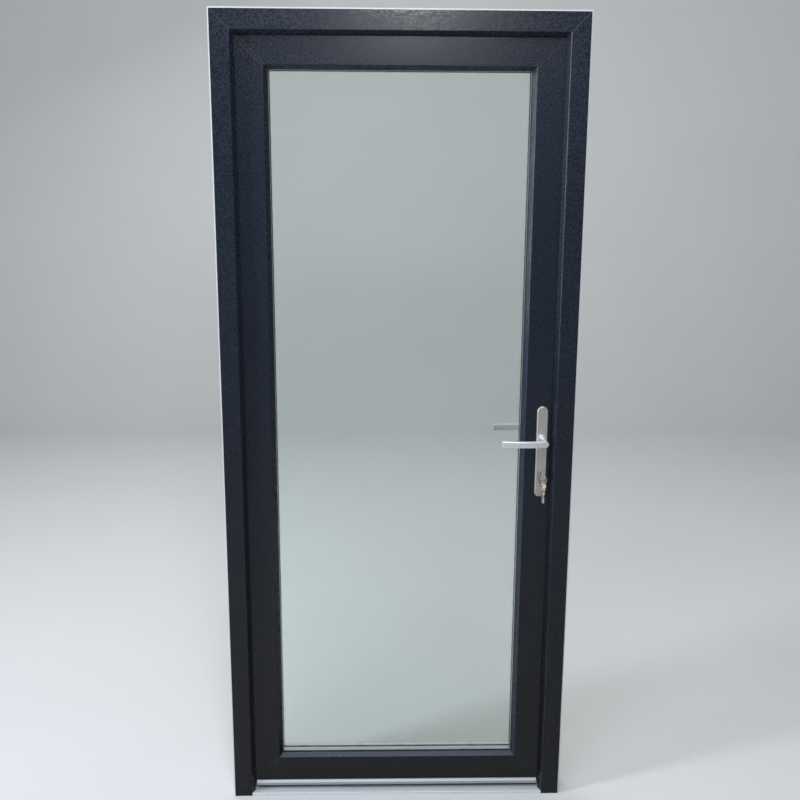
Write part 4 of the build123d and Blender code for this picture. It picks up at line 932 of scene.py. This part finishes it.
leaf_places = [
    ((x, LEAF_PLATE_Y, z + step), TOWARDS_STREET)
    for z in HINGE_Z
    for x in LEAF_SCREW_X
    for step in LEAF_SCREW_STEPS
]
leaf_screw = screw_at_origin(LEAF_SCREW_LENGTH, SHANK_R, HEAD_R, HEAD_RISE)
leaf_set = join("leaf_screws_cross_head", copies(leaf_screw, leaf_places))
hand_over(leaf_set, "leaf", "zinc_steel", zinc, "leaf_screws")
plate_screw = screw_at_origin(PLATE_SCREW_LENGTH, PLATE_SHANK_R, PLATE_HEAD_R, PLATE_HEAD_RISE)
plate_places = [((LOCK_X, PLATE_IN_Y, z), TOWARDS_STREET) for z in PLATE_SCREW_Z]
plate_set = join("handle_plate_screws_cross_head", copies(plate_screw, plate_places))
hand_over(plate_set, "leaf", "zinc_steel", zinc, "handle_plate_screws")

# %% [markdown]
# ## Keys
#
# One key is in the lock and a second hangs from it on a wire ring. Each is a flat bow with a
# raised rim and a hole, a shoulder, and a blade with a milled groove and cut teeth. A real key
# is stamped and then milled, and the same steps are used here: inset and sink the bow's faces,
# weld on the blade, and cut teeth, grooves and point out of it. A key is modelled hanging from
# its hole at the origin and is then moved to where its solid is.

# %% Blocks to cut with
KEY_THICK = 0.0022
HALF_KEY = KEY_THICK / 2
BLADE_THICK = 0.0020
HALF_BLADE = BLADE_THICK / 2
BLADE_WIDTH = 0.0080
BLADE_EDGE = BLADE_WIDTH / 2
SHOULDER_WIDTH = 0.0090
BOW_RIM = 0.0011
BOW_RECESS = 0.00035
BLADE_OVERLAP = 0.001
TEETH = ((0.006, 0.0016), (0.010, 0.0026), (0.0145, 0.0019), (0.019, 0.0030), (0.0235, 0.0022))
POINT_CUT = 0.0032
GROOVE_FROM_X = -0.0022
GROOVE_TO_X = -0.0010
GROOVE_DEEP = 0.0004
GROOVE_STOP = 0.003
PAST_TIP = 0.001
PAST_BLADE = 0.002
KEY_ROUNDING = 0.00012


def box_tool(name, low, high, turn=0.0):
    """A plain block between two corners, turned about Y through its middle."""
    return start_piece(
        name,
        bpy.ops.mesh.primitive_cube_add,
        size=1,
        location=[(a + b) / 2 for a, b in zip(low, high)],
        rotation=(0, math.radians(turn), 0),
        scale=[b - a for a, b in zip(low, high)],
    )


def notch(name, x, z, depth):
    """A square bar on its corner, which cuts a notch of that depth into an edge of the blade."""
    reach = depth * math.sqrt(2) / 2
    low = (x - reach, -PAST_BLADE, z - reach)
    high = (x + reach, PAST_BLADE, z + reach)
    return box_tool(name, low, high, 45)


# %% The parts of a key
def is_flat_face(side, face):
    """Whether a face is the bow's round flat one that looks to +Y or, for side -1, to -Y."""
    return face.normal.y * side > 0.9 and len(face.verts) > 4


def key_bow(name, size, drop):
    """An oval disc with a sunk face inside a rim on both sides."""
    bow = start_piece(
        name,
        bpy.ops.mesh.primitive_cylinder_add,
        vertices=56,
        radius=0.5,
        depth=KEY_THICK,
        location=(0, 0, -drop),
        rotation=LYING_ALONG_Y,
        scale=(size[0], size[1], 1),
    )
    for side in (-1, 1):
        is_flat = partial(is_flat_face, side)
        inwards = {"value": (0, -side * BOW_RECESS, 0)}
        sink = bpy.ops.mesh.extrude_region_move
        edit(bow, is_flat, "FACE", bpy.ops.mesh.inset, thickness=BOW_RIM)
        edit(bow, is_flat, "FACE", sink, TRANSFORM_OT_translate=inwards)
    return bow


def key_blade(top, tip):
    """A flat blade with notched teeth on one edge, a groove on both faces and a point."""
    low = (-BLADE_EDGE, -HALF_BLADE, -tip)
    high = (BLADE_EDGE, HALF_BLADE, -top + BLADE_OVERLAP)
    blade = box_tool("blade", low, high)
    for up, depth in TEETH:
        cut(blade, notch("tooth", BLADE_EDGE, -tip + up, depth))
    for side in (-1, 1):
        faces = sorted((side * (HALF_BLADE - GROOVE_DEEP), side * PAST_BLADE))
        low = (GROOVE_FROM_X, faces[0], -tip - PAST_TIP)
        high = (GROOVE_TO_X, faces[1], -top + GROOVE_STOP)
        cut(blade, box_tool("milling", low, high))
    for side in (-1, 1):
        cut(blade, notch("point", side * BLADE_EDGE, -tip, POINT_CUT))
    return blade


def hanging_key(name, bow, bow_drop, hole_r, shoulder, tip):
    """A key whose hole is at the origin, its face towards -Y and its blade down along -Z."""
    key = key_bow(name, bow, bow_drop)
    top, foot = shoulder
    low = (-SHOULDER_WIDTH / 2, -HALF_KEY, -foot)
    high = (SHOULDER_WIDTH / 2, HALF_KEY, -top)
    cut(key, box_tool("shoulder", low, high), "UNION")
    cut(key, key_blade(foot, tip), "UNION")
    hole = round_bar("hole", hole_r, 4 * KEY_THICK, (0, 0, 0), sides=36, way=LYING_ALONG_Y)
    cut(key, hole)
    soften(key, KEY_ROUNDING, segments=2, angle=40)
    return key


# %% The two keys in their places
SPARE_PLACE = (0.3712, -0.0502, 0.9042)
KEY_HOLE_Y = -0.047

spare = hanging_key(
    "spare_key_cut",
    bow=(0.0140, 0.0200),
    bow_drop=0.0072,
    hole_r=0.0030,
    shoulder=(0.0120, 0.0200),
    tip=0.0540,
)
spare.data.transform(Matrix.Translation(SPARE_PLACE))
hand_over(spare, "key_set", "key_brass", key_metal, "spare_key")
in_lock = hanging_key(
    "key_cut",
    bow=(0.0220, 0.0220),
    bow_drop=0.0060,
    hole_r=0.0036,
    shoulder=(0.0105, 0.0210),
    tip=0.0520,
)
about_x = Matrix.Rotation(math.radians(90), 4, "X")
about_blade = Matrix.Rotation(math.radians(90), 4, "Y")
to_lock = Matrix.Translation((LOCK_X, KEY_HOLE_Y, CYLINDER_Z))
in_lock.data.transform(to_lock @ about_blade @ about_x)
hand_over(in_lock, "key_set", "nickel", nickel, "key")
print("key in the lock reaches from", min(v.co.y for v in in_lock.data.vertices), "along Y")

# %% [markdown]
# ## Hinge pins with domed caps
#
# The pins are steel rods whose ends are closed by white caps. The caps are short cylinders
# with well rounded rims, one above and one below each hinge, welded to the pin by a union so
# that each pin is one closed piece.

# %% Hinge pins
PIN_R = 0.0040
PIN_HALF = 0.050
CAP_R = 0.0060
CAP_THICK = 0.003
CAP_ROUNDING = 0.75
HINGE_Y = 0.057


def capped_pin(z):
    """One hinge pin with a cap at each end."""
    length = 2 * PIN_HALF + CAP_THICK
    pin = round_bar("pin", PIN_R, length, (HINGE_X, HINGE_Y, z), sides=40)
    for way in (-1, 1):
        outer = z + way * (PIN_HALF + CAP_THICK)
        middle = (HINGE_X, HINGE_Y, z + way * (PIN_HALF + CAP_THICK / 2))
        cap = round_bar("cap", CAP_R, CAP_THICK, middle, sides=48)
        edit(
            cap,
            lambda edge: all(abs(vertex.co.z - outer) < SAME for vertex in edge.verts),
            "EDGE",
            bpy.ops.mesh.bevel,
            offset=CAP_THICK * CAP_ROUNDING,
            segments=6,
        )
        cut(pin, cap, "UNION")
    smooth(pin, angle=35)
    return pin


pins = join("hinge_pins_capped", [capped_pin(z) for z in HINGE_Z])
hand_over(pins, "frame", "hinge_steel", powder, "hinge_pins")

# %% [markdown]
# ## The view transform
#
# The plain view transform shows colours as they are written.

# %% Finish
bpy.context.scene.view_settings.view_transform = "Standard"
